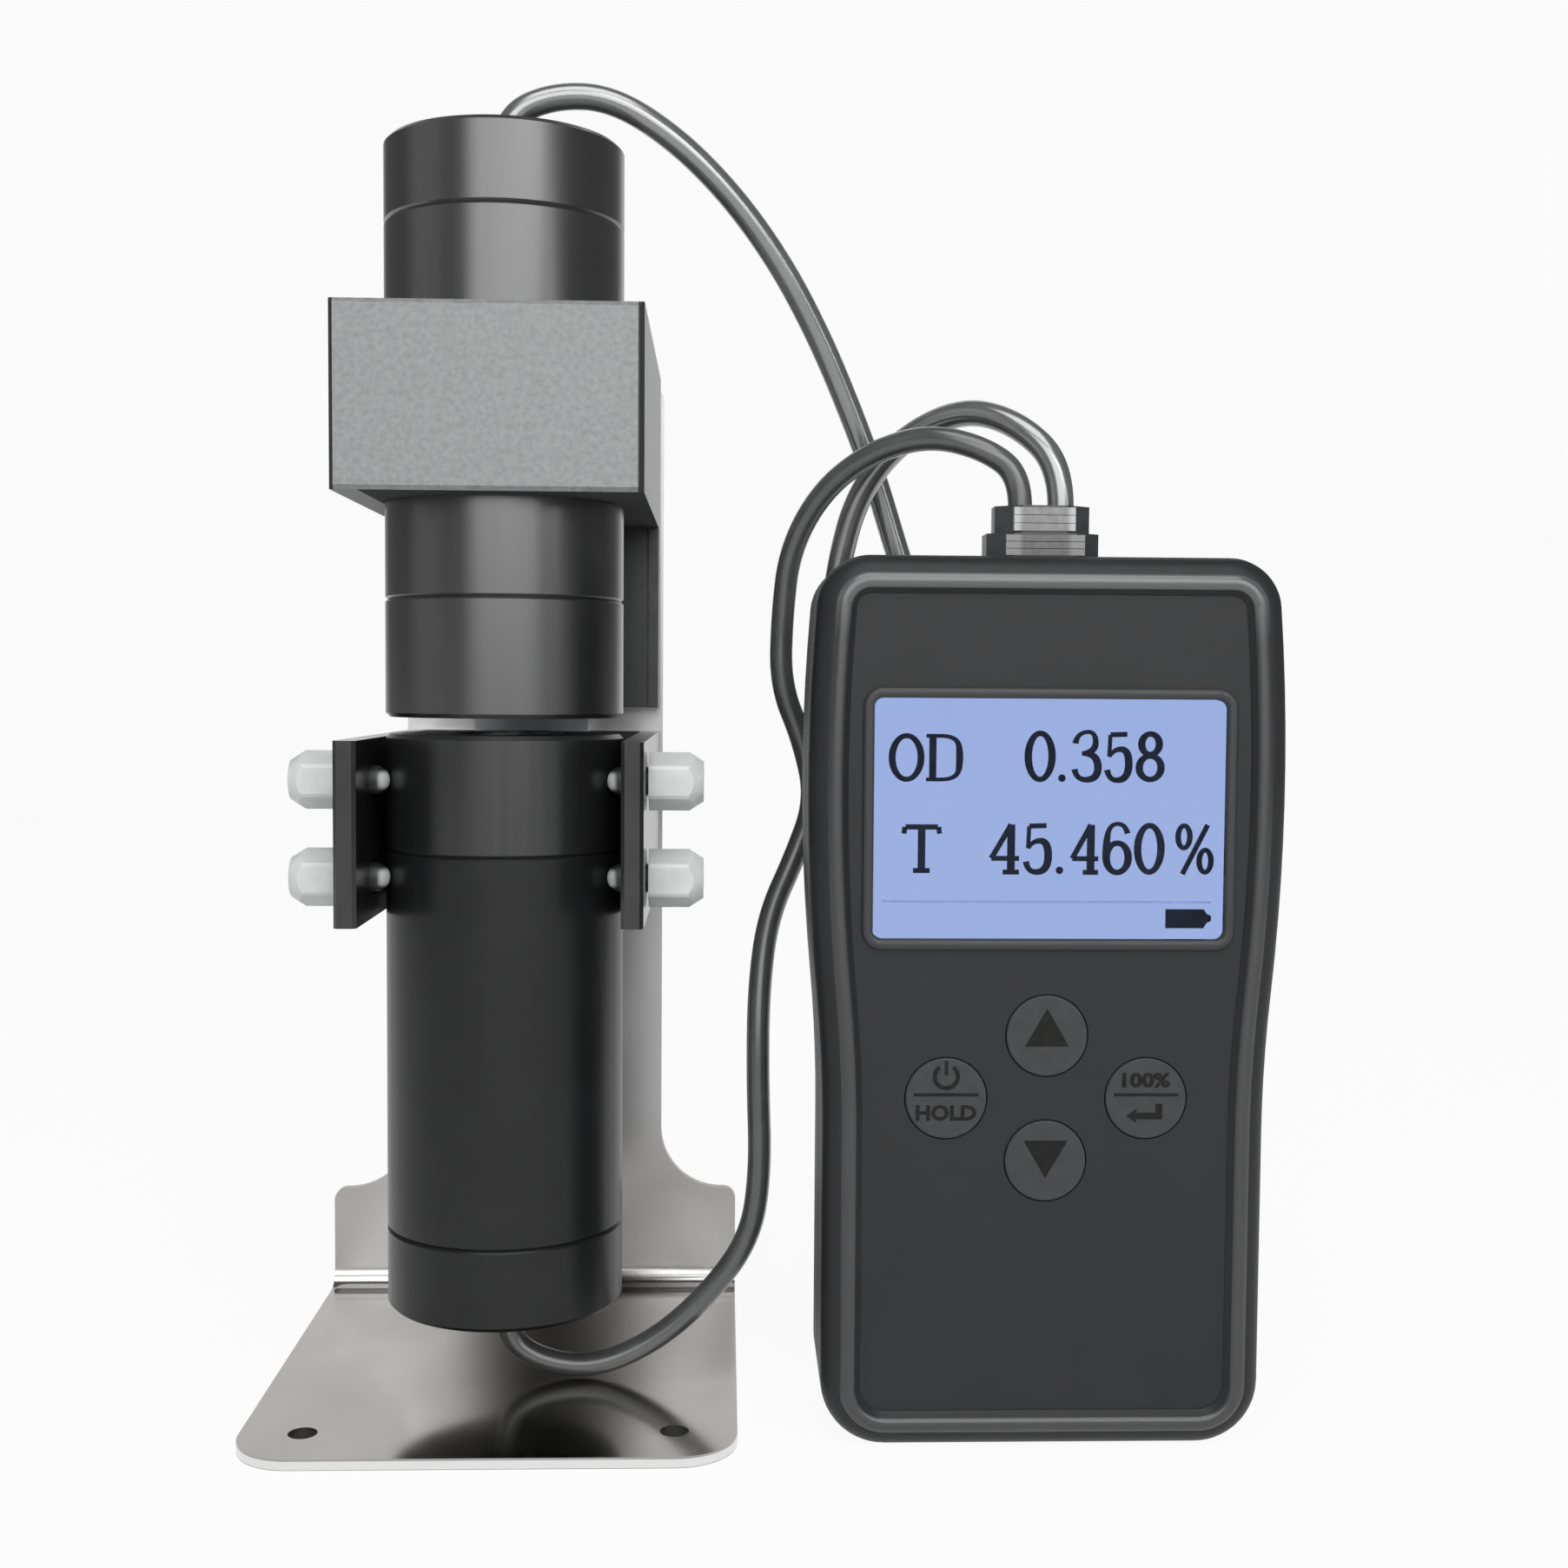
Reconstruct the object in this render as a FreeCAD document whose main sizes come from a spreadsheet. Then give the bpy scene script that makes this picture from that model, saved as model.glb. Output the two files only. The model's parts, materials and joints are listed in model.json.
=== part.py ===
import FreeCAD, Part
import math
import os
import Sketcher

# Film densitometer: a lamp probe and a sensor probe face each other on a bent sheet stand, and a
# handheld meter stands beside them. Millimetres. The origin is where the optical axis meets the
# floor; +Z is up, -Y is the front, where the display faces.

SIZES = {
    # probes, both turned about the optical axis
    "probe_radius": 16.5,
    "probe_bore": 14.0,
    "nose_length": 16.2,
    "cap_length": 11.1,
    "lower_barrel_length": 52.9,
    "upper_barrel_length": 51.2,
    "lower_probe_height": 13.7,
    "sample_gap": 2.3,
    "end_chamfer": 0.6,
    "seam_chamfer": 0.35,
    "spigot_length": 5.0,
    "slip_gap": 0.05,
    "window_radius": 8.0,
    "window_thickness": 1.4,
    "window_sink": 0.2,
    "aperture_radius": 6.0,
    "lens_radius": 9.0,
    "lens_seat_depth": 6.0,
    "lens_edge": 1.2,
    "lens_curve": 14.0,
    "lens_ring_wall": 2.0,
    "lens_ring_length": 2.0,
    "lens_ring_slope": 1.7,
    "board_thickness": 1.6,
    "emitter_radius": 2.5,
    "emitter_length": 2.4,
    "emitter_dome_radius": 2.0,
    "spacer_wall": 1.3,
    "cap_end_wall": 4.0,
    "cap_bore": 11.0,
    "gland_neck_radius": 2.5,
    "gland_flange_radius": 4.0,
    "gland_flange": 0.5,
    "gland_taper_length": 0.5,
    "gland_tip_radius": 2.6,
    # leads
    "lead_radius": 1.65,
    "lead_spacing": 5.5,
    "lower_lead_drop": 5.1,
    "upper_lead_rise": 4.95,
    "boot_lead_rise_left": 4.3,
    "boot_lead_rise_right": 5.9,
    # bent sheet stand
    "sheet": 1.5,
    "base_half_width": 33.0,
    "base_front": 27.9,
    "column_face": 41.9,
    "column_half_width": 20.7,
    "column_top": 149.0,
    "bend_radius": 3.0,
    "base_corner_radius": 8.0,
    "flange_top": 17.6,
    "flange_fillet": 10.0,
    "flange_corner": 2.0,
    "base_hole_radius": 1.8,
    "base_hole_x": 24.6,
    "base_hole_y": 19.5,
    # clamp for the lower probe
    "clamp_half_width": 20.25,
    "clamp_wall": 3.0,
    "clamp_front": 19.5,
    "clamp_bottom": 68.7,
    "clamp_height": 24.6,
    "clamp_edge": 0.5,
    "saddle_front": 9.0,
    "saddle_margin": 1.5,
    "stud_radius": 1.95,
    "stud_thread_gap": 0.05,
    "stud_y": 8.0,
    "stud_margin": 5.65,
    "stud_tip_gap": 0.1,
    "nut_gap": 0.3,
    "nut_flats": 7.2,
    "nut_hex_length": 5.5,
    "nut_dome_length": 1.95,
    "nut_dome_radius": 2.75,
    "nut_corner_radius": 4.0,
    "nut_bore_length": 5.6,
    # slide for the upper probe
    "holder_half_width": 20.25,
    "holder_front": 20.7,
    "holder_bottom": 125.7,
    "holder_height": 24.4,
    "holder_edge": 0.6,
    "carriage_front": 33.0,
    "carriage_back_gap": 0.5,
    "carriage_bottom": 97.2,
    "carriage_neck_half_width": 17.0,
    "carriage_groove_x": 18.2,
    "carriage_groove_width": 1.0,
    "carriage_groove_depth": 0.8,
    "rail_thickness": 6.0,
    "rail_half_width": 10.0,
    "rail_root_half_width": 7.0,
    "rail_gap": 0.1,
    "rail_top": 147.0,
    "stop_half_width": 9.0,
    "stop_depth": 7.0,
    "stop_gap": 0.1,
    # fasteners
    "hex_socket_share": 0.5,
    "hex_socket_depth_share": 0.6,
    "thread_end_gap": 0.5,
    "rear_screw_radius": 1.5,
    "rear_head_radius": 2.8,
    "rear_head_height": 1.8,
    "rail_screw_pitch": 18.0,
    "rail_screw_first": 104.0,
    "rail_screw_bite": 4.0,
    "clamp_screw_x": 9.0,
    "clamp_screw_bite": 8.0,
    "holder_screw_x": 13.6,
    "holder_screw_rise": 5.5,
    "holder_screw_radius": 1.5,
    "holder_screw_head_radius": 2.75,
    "holder_screw_head": 3.0,
    "holder_screw_bite": 8.0,
    "grub_radius": 2.0,
    "grub_sink": 1.2,
    # meter
    "meter_x": 73.3,
    "meter_front": 22.8,
    "meter_depth": 26.0,
    "meter_height": 118.0,
    "meter_half_width": 31.5,
    "meter_waist_half_width": 29.3,
    "meter_widest_height": 88.0,
    "meter_waist_height": 42.0,
    "meter_bulge_share": 0.6,
    "meter_top_corner": 7.0,
    "meter_bottom_corner": 8.5,
    "meter_parting": 11.0,
    "meter_wall": 2.0,
    "meter_front_edge": 3.3,
    "meter_rear_edge": 4.0,
    "meter_seam": 0.3,
    "rim_width": 5.1,
    "panel_sink": 0.8,
    "rim_slope": 0.7,
    "screen_half_width": 23.1,
    "screen_bottom": 67.9,
    "screen_height": 31.5,
    "bezel_width": 1.35,
    "bezel_rise": 0.45,
    "screen_corner": 1.2,
    "window_ledge": 1.6,
    "window_ledge_thickness": 0.8,
    "window_gap": 0.1,
    "lcd_thickness": 2.4,
    "lcd_margin": 2.0,
    "pcb_half_width": 25.5,
    "pcb_foot_margin": 4.0,
    "pcb_top_margin": 2.0,
    "pcb_thickness": 1.6,
    "key_radius": 5.35,
    "key_gap": 0.15,
    "key_rise": 0.25,
    "key_flange": 0.9,
    "key_flange_thickness": 0.8,
    "key_flange_gap": 0.1,
    "key_travel": 0.6,
    "key_cross_height": 46.9,
    "key_up_step": 8.3,
    "key_side_step": 13.2,
    "keypad_margin": 3.0,
    "keypad_thickness": 1.2,
    "keypad_dome_radius": 3.2,
    "key_clearance": 0.1,
    "boss_radius": 3.0,
    "boss_x": 24.0,
    "boss_low": 10.5,
    "boss_high": 108.5,
    "case_screw_radius": 1.2,
    "case_screw_head_radius": 2.2,
    "case_screw_head": 1.6,
    "case_screw_bite": 6.0,
    "case_screw_sink": 0.6,
    "post_x": 20.0,
    "post_drop": 4.0,
    "post_radius": 2.0,
    "cell_radius": 5.2,
    "cell_length": 44.0,
    "cell_nub": 0.9,
    "cell_nub_radius": 1.9,
    "cell_gap": 0.4,
    "tray_wall": 1.2,
    "tray_bottom": 19.0,
    "contact_room": 3.2,
    "contact_radius": 3.9,
    "cover_overlap": 2.0,
    "cover_thickness": 1.3,
    "cover_gap": 0.15,
    "grip_drop": 6.0,
    "grip_pitch": 2.0,
    "grip_width": 1.0,
    "grip_half_length": 8.0,
    "grip_depth": 0.4,
    "socket_half_width": 7.5,
    "socket_half_depth": 4.5,
    "socket_height": 9.0,
    "socket_shoulder": 3.0,
    "plug_half_width": 7.55,
    "plug_half_depth": 4.6,
    "plug_step": 3.4,
    "plug_corner_x": 3.4,
    "plug_corner_y": 2.4,
    "boot_half_width": 6.4,
    "boot_half_depth": 3.9,
    "boot_height": 3.7,
    "plug_tongue_half_width": 4.5,
    "plug_tongue_half_depth": 1.5,
    "plug_tongue_length": 5.0,
}

doc = FreeCAD.newDocument("densitometer")
sheet = doc.addObject("Spreadsheet::Sheet", "Sizes")
for row, (alias, number) in enumerate(SIZES.items(), 1):
    sheet.set("A%d" % row, alias)
    sheet.set("B%d" % row, str(number))
    sheet.setAlias("B%d" % row, alias)
doc.recompute()


class Size:
    """A length, and the expression that ties it to the sheet."""

    def __init__(self, value, text):
        self.value = value
        self.text = text

    def __add__(self, other):
        other = as_size(other)
        return Size(self.value + other.value, "(%s + %s)" % (self.text, other.text))

    def __sub__(self, other):
        other = as_size(other)
        return Size(self.value - other.value, "(%s - %s)" % (self.text, other.text))

    def __mul__(self, other):
        other = as_size(other)
        return Size(self.value * other.value, "(%s * %s)" % (self.text, other.text))

    def __truediv__(self, other):
        other = as_size(other)
        return Size(self.value / other.value, "(%s / %s)" % (self.text, other.text))

    def __radd__(self, other):
        return as_size(other) + self

    def __rsub__(self, other):
        return as_size(other) - self

    def __rmul__(self, other):
        return as_size(other) * self

    def __neg__(self):
        return self * -1


def as_size(number):
    return number if isinstance(number, Size) else Size(float(number), "(%r)" % float(number))


def square_root(size):
    return Size(math.sqrt(size.value), "sqrt(%s)" % size.text)


class Named:
    """Each size under its own name."""


s = Named()
for alias, number in SIZES.items():
    setattr(s, alias, Size(float(number), "Sizes." + alias))

ZERO = as_size(0)
# how far a cut's tool stands outside the work, and a rib's root inside its wall
OVER = as_size(1)
ROOT = as_size(0.5)
nodes = {}


# ---------------------------------------------------------------- drawing helpers

def keep(name, thing):
    """thing becomes the node of that name."""
    thing.Label = name
    nodes[name] = thing
    return thing


def bind(thing, prop, size):
    size = as_size(size)
    thing.setExpression(prop, size.text)


def put(thing, at, turn=None):
    """Places thing with its origin at three sizes, turned first."""
    values = [as_size(size).value for size in at]
    thing.Placement = FreeCAD.Placement(FreeCAD.Vector(*values), turn or FreeCAD.Rotation())
    for letter, size in zip("xyz", at):
        bind(thing, "Placement.Base." + letter, size)


TURNS = {
    "+X": FreeCAD.Rotation(FreeCAD.Vector(0, 1, 0), 90),
    "-X": FreeCAD.Rotation(FreeCAD.Vector(0, 1, 0), -90),
    "+Y": FreeCAD.Rotation(FreeCAD.Vector(1, 0, 0), -90),
    "-Y": FreeCAD.Rotation(FreeCAD.Vector(1, 0, 0), 90),
    "+Z": FreeCAD.Rotation(),
    "-Z": FreeCAD.Rotation(FreeCAD.Vector(1, 0, 0), 180),
}


def rod(name, way, radius, length, at):
    thing = doc.addObject("Part::Cylinder", name)
    put(thing, at, TURNS[way])
    bind(thing, "Radius", radius)
    bind(thing, "Height", length)
    return thing


def cone(name, way, radius, tip_radius, length, at):
    thing = doc.addObject("Part::Cone", name)
    put(thing, at, TURNS[way])
    bind(thing, "Radius1", radius)
    bind(thing, "Radius2", tip_radius)
    bind(thing, "Height", length)
    return thing


def ball(name, radius, at):
    thing = doc.addObject("Part::Sphere", name)
    put(thing, at)
    bind(thing, "Radius", radius)
    return thing


def block(name, low, high):
    """A box between two corners."""
    thing = doc.addObject("Part::Box", name)
    put(thing, low)
    for prop, bottom, top in zip(("Length", "Width", "Height"), low, high):
        bind(thing, prop, as_size(top) - bottom)
    return thing


def join(name, things):
    thing = doc.addObject("Part::MultiFuse", name)
    thing.Shapes = things
    return thing


def group(name, things):
    """Separate solids that share one node."""
    thing = doc.addObject("Part::Compound", name)
    thing.Links = things
    return thing


def cut(name, base, tools):
    thing = doc.addObject("Part::Cut", name)
    thing.Base = base
    thing.Tool = tools[0] if len(tools) == 1 else join(name + "_tools", tools)
    return thing


def common(name, things):
    thing = doc.addObject("Part::MultiCommon", name)
    thing.Shapes = things
    return thing


def body(name):
    return keep(name, doc.addObject("PartDesign::Body", name))


def new_sketch(owner, name, plane, level):
    """A sketch on XY, XZ or YZ, moved along that plane's own axis to level."""
    made = owner.newObject("Sketcher::SketchObject", owner.Name + "_" + name)
    for feature in owner.Origin.OriginFeatures:
        if feature.Role == plane + "_Plane":
            made.AttachmentSupport = [(feature, "")]
    made.MapMode = "FlatFace"
    offset = -as_size(level) if plane == "XZ" else as_size(level)
    made.AttachmentOffset = FreeCAD.Placement(FreeCAD.Vector(0, 0, offset.value), FreeCAD.Rotation())
    made.setExpression("AttachmentOffset.Base.z", offset.text)
    return made


def fix_point(sketch, geometry, which, point):
    """Ties one end or centre of a sketch's geometry to two sizes."""
    for kind, letter, size in zip(("DistanceX", "DistanceY"), "xy", point):
        size = as_size(size)
        index = sketch.addConstraint(Sketcher.Constraint(kind, -1, 1, geometry, which, size.value))
        name = "%s%d_%d" % (letter, geometry, which)
        sketch.renameConstraint(index, name)
        sketch.setExpression("Constraints." + name, size.text)


def polygon(sketch, points):
    """A closed outline of straight lines."""
    first = sketch.GeometryCount
    count = len(points)
    ends = [FreeCAD.Vector(as_size(x).value, as_size(y).value, 0) for x, y in points]
    for i in range(count):
        sketch.addGeometry(Part.LineSegment(ends[i], ends[(i + 1) % count]))
    for i in range(count):
        after = first + (i + 1) % count
        sketch.addConstraint(Sketcher.Constraint("Coincident", first + i, 2, after, 1))
        fix_point(sketch, first + i, 1, points[i])


def circles(sketch, centres, radius):
    radius = as_size(radius)
    for x, y in centres:
        centre = FreeCAD.Vector(as_size(x).value, as_size(y).value, 0)
        index = sketch.GeometryCount
        sketch.addGeometry(Part.Circle(centre, FreeCAD.Vector(0, 0, 1), radius.value))
        fix_point(sketch, index, 3, (x, y))
        rule = sketch.addConstraint(Sketcher.Constraint("Radius", index, radius.value))
        sketch.renameConstraint(rule, "r%d" % index)
        sketch.setExpression("Constraints.r%d" % index, radius.text)


def rectangle(sketch, low, high):
    polygon(sketch, [low, (high[0], low[1]), high, (low[0], high[1])])


def extrude(owner, kind, name, sketch, length, towards):
    """A Pad or Pocket of that length towards +1 or -1 along the sketch plane's own axis."""
    made = owner.newObject("PartDesign::" + kind, owner.Name + "_" + name)
    made.Profile = sketch
    if length is None:
        made.Type = "ThroughAll"
    else:
        bind(made, "Length", length)
    along_normal = towards * (-1 if "XZ" in sketch.AttachmentSupport[0][0].Role else 1)
    made.Reversed = along_normal < 0 if kind == "Pad" else along_normal > 0
    doc.recompute()
    return made


def pad(owner, name, plane, level, draw, length, towards):
    sketch = new_sketch(owner, name + "_sketch", plane, level)
    draw(sketch)
    return extrude(owner, "Pad", name, sketch, length, towards)


def pocket(owner, name, plane, level, draw, length, towards):
    sketch = new_sketch(owner, name + "_sketch", plane, level)
    draw(sketch)
    before = owner.Shape.Volume
    made = extrude(owner, "Pocket", name, sketch, length, towards)
    assert owner.Shape.Volume < before - 0.01, made.Name + " cuts nothing"
    return made


def turned(name, points):
    """A body turned about the optical axis from a closed outline of (radius, height) points."""
    owner = body(name)
    sketch = new_sketch(owner, "profile", "XZ", ZERO)
    polygon(sketch, points)
    made = owner.newObject("PartDesign::Revolution", name + "_turn")
    made.Profile = sketch
    made.ReferenceAxis = (sketch, ["V_Axis"])
    made.Angle = 360
    doc.recompute()
    return owner


def dress(owner, kind, name, size, picks):
    """A Fillet or Chamfer on the edges of the body's last feature that picks accepts."""
    base = owner.Tip
    chosen = []
    for number, edge in enumerate(base.Shape.Edges, 1):
        box = edge.BoundBox
        if picks(box):
            chosen.append("Edge%d" % number)
    assert chosen, owner.Name + " " + name + " finds no edge"
    made = owner.newObject("PartDesign::" + kind, owner.Name + "_" + name)
    made.Base = (base, chosen)
    bind(made, "Radius" if kind == "Fillet" else "Size", size)
    doc.recompute()
    assert made.isValid() and made.Shape.Solids, made.Name + " fails"
    return made


def near(number, size, slack=0.01):
    return abs(number - as_size(size).value) < slack


def at_x(box, size):
    return near(box.XMin, size) and near(box.XMax, size)


def at_y(box, size):
    return near(box.YMin, size) and near(box.YMax, size)


def at_z(box, size):
    return near(box.ZMin, size) and near(box.ZMax, size)


def at_sides(box, size):
    """An edge that lies on the left or the right side, that far from the middle."""
    return at_x(box, size) or at_x(box, -size)


# ---------------------------------------------------------------- probes

# way is +1 where the nose looks down and -1 where it looks up; steps count from the nose face
lower_length = s.nose_length + s.lower_barrel_length + s.cap_length
upper_length = s.nose_length + s.upper_barrel_length + s.cap_length
lower_face = s.lower_probe_height + lower_length
upper_face = lower_face + s.sample_gap
slip_radius = s.probe_bore - s.slip_gap


def probe(prefix, face, way, barrel_length, board, emitter):
    """One probe: nose with its window and lens, barrel, board with its emitter, cap and gland."""

    def step(size):
        return face + as_size(size) * way

    def outline(points):
        return [(radius, step(size)) for radius, size in points]

    barrel_end = s.nose_length + barrel_length
    length = barrel_end + s.cap_length
    spigot_end = s.nose_length + s.spigot_length
    window_seat = s.window_thickness + s.window_sink
    turned(prefix + "_nose", outline([
        (s.window_radius, 0),
        (s.probe_radius - s.end_chamfer, 0),
        (s.probe_radius, s.end_chamfer),
        (s.probe_radius, s.nose_length - s.seam_chamfer),
        (s.probe_radius - s.seam_chamfer, s.nose_length),
        (slip_radius, s.nose_length),
        (slip_radius, spigot_end),
        (s.lens_radius, spigot_end),
        (s.lens_radius, s.lens_seat_depth),
        (s.aperture_radius, s.lens_seat_depth),
        (s.aperture_radius, window_seat),
        (s.window_radius, window_seat),
    ]))
    up = "+Z" if way > 0 else "-Z"
    keep(prefix + "_window", rod(prefix + "_window_disc", up, s.window_radius - s.slip_gap,
                                 s.window_thickness, (0, 0, step(s.window_sink))))

    lens_radius = s.lens_radius - s.slip_gap
    dome_rise = s.lens_curve - square_root(s.lens_curve * s.lens_curve - lens_radius * lens_radius)
    lens_top = s.lens_seat_depth + s.lens_edge + dome_rise
    disc = rod(prefix + "_lens_disc", up, lens_radius, s.lens_edge + dome_rise,
               (0, 0, step(s.lens_seat_depth)))
    curve = ball(prefix + "_lens_ball", s.lens_curve, (0, 0, step(lens_top - s.lens_curve)))
    keep(prefix + "_lens", common(prefix + "_lens_solid", [disc, curve]))
    ring_start = s.lens_seat_depth + s.lens_edge
    turned(prefix + "_lens_ring", outline([
        (lens_radius, ring_start),
        (lens_radius, ring_start + s.lens_ring_length),
        (lens_radius - s.lens_ring_wall, ring_start + s.lens_ring_length),
        (lens_radius - s.lens_ring_wall, ring_start + s.lens_ring_slope),
    ]))

    turned(prefix + "_barrel", outline([
        (s.probe_bore, s.nose_length),
        (s.probe_radius - s.seam_chamfer, s.nose_length),
        (s.probe_radius, s.nose_length + s.seam_chamfer),
        (s.probe_radius, barrel_end - s.seam_chamfer),
        (s.probe_radius - s.seam_chamfer, barrel_end),
        (s.probe_bore, barrel_end),
    ]))

    board_end = spigot_end + s.board_thickness
    keep(board, rod(board + "_disc", up, slip_radius, s.board_thickness, (0, 0, step(spigot_end))))
    shell = rod(emitter + "_can", up, s.emitter_radius, s.emitter_length,
                (0, 0, step(spigot_end - s.emitter_length)))
    dome = ball(emitter + "_dome", s.emitter_dome_radius, (0, 0, step(spigot_end - s.emitter_length)))
    keep(emitter, join(emitter + "_solid", [shell, dome]))
    cap_spigot = barrel_end - s.spigot_length
    turned(prefix + "_spacer", outline([
        (slip_radius, board_end),
        (slip_radius, cap_spigot),
        (slip_radius - s.spacer_wall, cap_spigot),
        (slip_radius - s.spacer_wall, board_end),
    ]))

    turned(prefix + "_cap", outline([
        (slip_radius, cap_spigot),
        (slip_radius, barrel_end),
        (s.probe_radius - s.seam_chamfer, barrel_end),
        (s.probe_radius, barrel_end + s.seam_chamfer),
        (s.probe_radius, length - s.end_chamfer),
        (s.probe_radius - s.end_chamfer, length),
        (s.gland_neck_radius + s.slip_gap, length),
        (s.gland_neck_radius + s.slip_gap, length - s.cap_end_wall),
        (s.cap_bore, length - s.cap_end_wall),
        (s.cap_bore, cap_spigot),
    ]))
    turned(prefix + "_gland", outline([
        (0, length - s.cap_end_wall),
        (s.gland_neck_radius, length - s.cap_end_wall),
        (s.gland_neck_radius, length),
        (s.gland_flange_radius, length),
        (s.gland_flange_radius, length + s.gland_flange),
        (s.gland_tip_radius, length + s.gland_flange + s.gland_taper_length),
        (0, length + s.gland_flange + s.gland_taper_length),
    ]))


probe("lower", lower_face, -1, s.lower_barrel_length, "lamp_board", "lamp_emitter")
probe("upper", upper_face, 1, s.upper_barrel_length, "sensor_board", "photodiode")
gland_reach = s.gland_flange + s.gland_taper_length

# ---------------------------------------------------------------- bent sheet stand

column_back = s.column_face + s.sheet
stand = body("stand_bracket")
pad(stand, "sheet", "YZ", -s.base_half_width, lambda sketch: polygon(sketch, [
    (-s.base_front, 0),
    (column_back, 0),
    (column_back, s.column_top),
    (s.column_face, s.column_top),
    (s.column_face, s.sheet),
    (-s.base_front, s.sheet),
]), s.base_half_width * 2, 1)
dress(stand, "Fillet", "inner_bend", s.bend_radius,
      lambda box: at_y(box, s.column_face) and at_z(box, s.sheet))
dress(stand, "Fillet", "outer_bend", s.bend_radius + s.sheet,
      lambda box: at_y(box, column_back) and at_z(box, 0))
for side, word in ((-1, "left"), (1, "right")):
    inner = s.column_half_width * side
    outer = (s.base_half_width + OVER) * side
    pocket(stand, word + "_cut", "XZ", column_back + OVER, lambda sketch: polygon(sketch, [
        (inner, s.flange_top),
        (outer, s.flange_top),
        (outer, s.column_top + OVER),
        (inner, s.column_top + OVER),
    ]), s.sheet + OVER * 2, -1)
dress(stand, "Fillet", "shoulders", s.flange_fillet,
      lambda box: at_sides(box, s.column_half_width) and at_z(box, s.flange_top))
dress(stand, "Fillet", "flange_corners", s.flange_corner,
      lambda box: at_sides(box, s.base_half_width) and at_z(box, s.flange_top))
dress(stand, "Fillet", "base_corners", s.base_corner_radius,
      lambda box: at_sides(box, s.base_half_width) and at_y(box, -s.base_front))
dress(stand, "Fillet", "column_corners", s.flange_corner,
      lambda box: at_sides(box, s.column_half_width) and at_z(box, s.column_top))
pocket(stand, "base_holes", "XY", s.sheet, lambda sketch: circles(
    sketch, [(-s.base_hole_x, -s.base_hole_y), (s.base_hole_x, -s.base_hole_y)],
    s.base_hole_radius), s.sheet + OVER, -1)
clamp_screw_height = s.clamp_bottom + s.clamp_height / 2
rail_screw_spots = [(ZERO, s.rail_screw_first + s.rail_screw_pitch * i) for i in range(3)]
clamp_screw_spots = [(s.clamp_screw_x * side, clamp_screw_height) for side in (-1, 1)]
pocket(stand, "screw_holes", "XZ", column_back, lambda sketch: circles(
    sketch, rail_screw_spots + clamp_screw_spots, s.rear_screw_radius + s.slip_gap),
    s.sheet + OVER, -1)

# ---------------------------------------------------------------- clamp for the lower probe

clamp_top = s.clamp_bottom + s.clamp_height
clamp_inner = s.clamp_half_width - s.clamp_wall
web_face = s.column_face - s.clamp_wall
clamp = body("clamp_bracket")
pad(clamp, "channel", "XY", s.clamp_bottom, lambda sketch: polygon(sketch, [
    (-s.clamp_half_width, -s.clamp_front),
    (-s.clamp_half_width, s.column_face),
    (s.clamp_half_width, s.column_face),
    (s.clamp_half_width, -s.clamp_front),
    (clamp_inner, -s.clamp_front),
    (clamp_inner, web_face),
    (-clamp_inner, web_face),
    (-clamp_inner, -s.clamp_front),
]), s.clamp_height, 1)
stud_heights = [s.clamp_bottom + s.stud_margin, clamp_top - s.stud_margin]
pocket(clamp, "stud_holes", "YZ", -s.clamp_half_width - OVER, lambda sketch: circles(
    sketch, [(-s.stud_y, height) for height in stud_heights], s.stud_radius + s.stud_thread_gap),
    (s.clamp_half_width + OVER) * 2, 1)
pocket(clamp, "screw_holes", "XZ", s.column_face, lambda sketch: circles(
    sketch, clamp_screw_spots, s.rear_screw_radius + s.slip_gap), s.clamp_wall + OVER, -1)
dress(clamp, "Chamfer", "front_edges", s.clamp_edge,
      lambda box: at_y(box, -s.clamp_front) and near(box.ZLength, s.clamp_height))

saddle = body("clamp_saddle")
saddle_low = s.clamp_bottom + s.saddle_margin
saddle_height = s.clamp_height - s.saddle_margin * 2
saddle_half_width = clamp_inner - s.slip_gap
pad(saddle, "block", "XY", saddle_low, lambda sketch: rectangle(
    sketch, (-saddle_half_width, s.saddle_front), (saddle_half_width, web_face)), saddle_height, 1)
pocket(saddle, "seat", "XY", saddle_low + saddle_height, lambda sketch: circles(
    sketch, [(ZERO, ZERO)], s.probe_radius + s.slip_gap), saddle_height + OVER, -1)
clamp_screw_tip = web_face - s.clamp_screw_bite
pocket(saddle, "screw_holes", "XZ", web_face, lambda sketch: circles(
    sketch, clamp_screw_spots, s.rear_screw_radius + s.slip_gap),
    s.clamp_screw_bite + s.thread_end_gap, -1)

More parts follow.
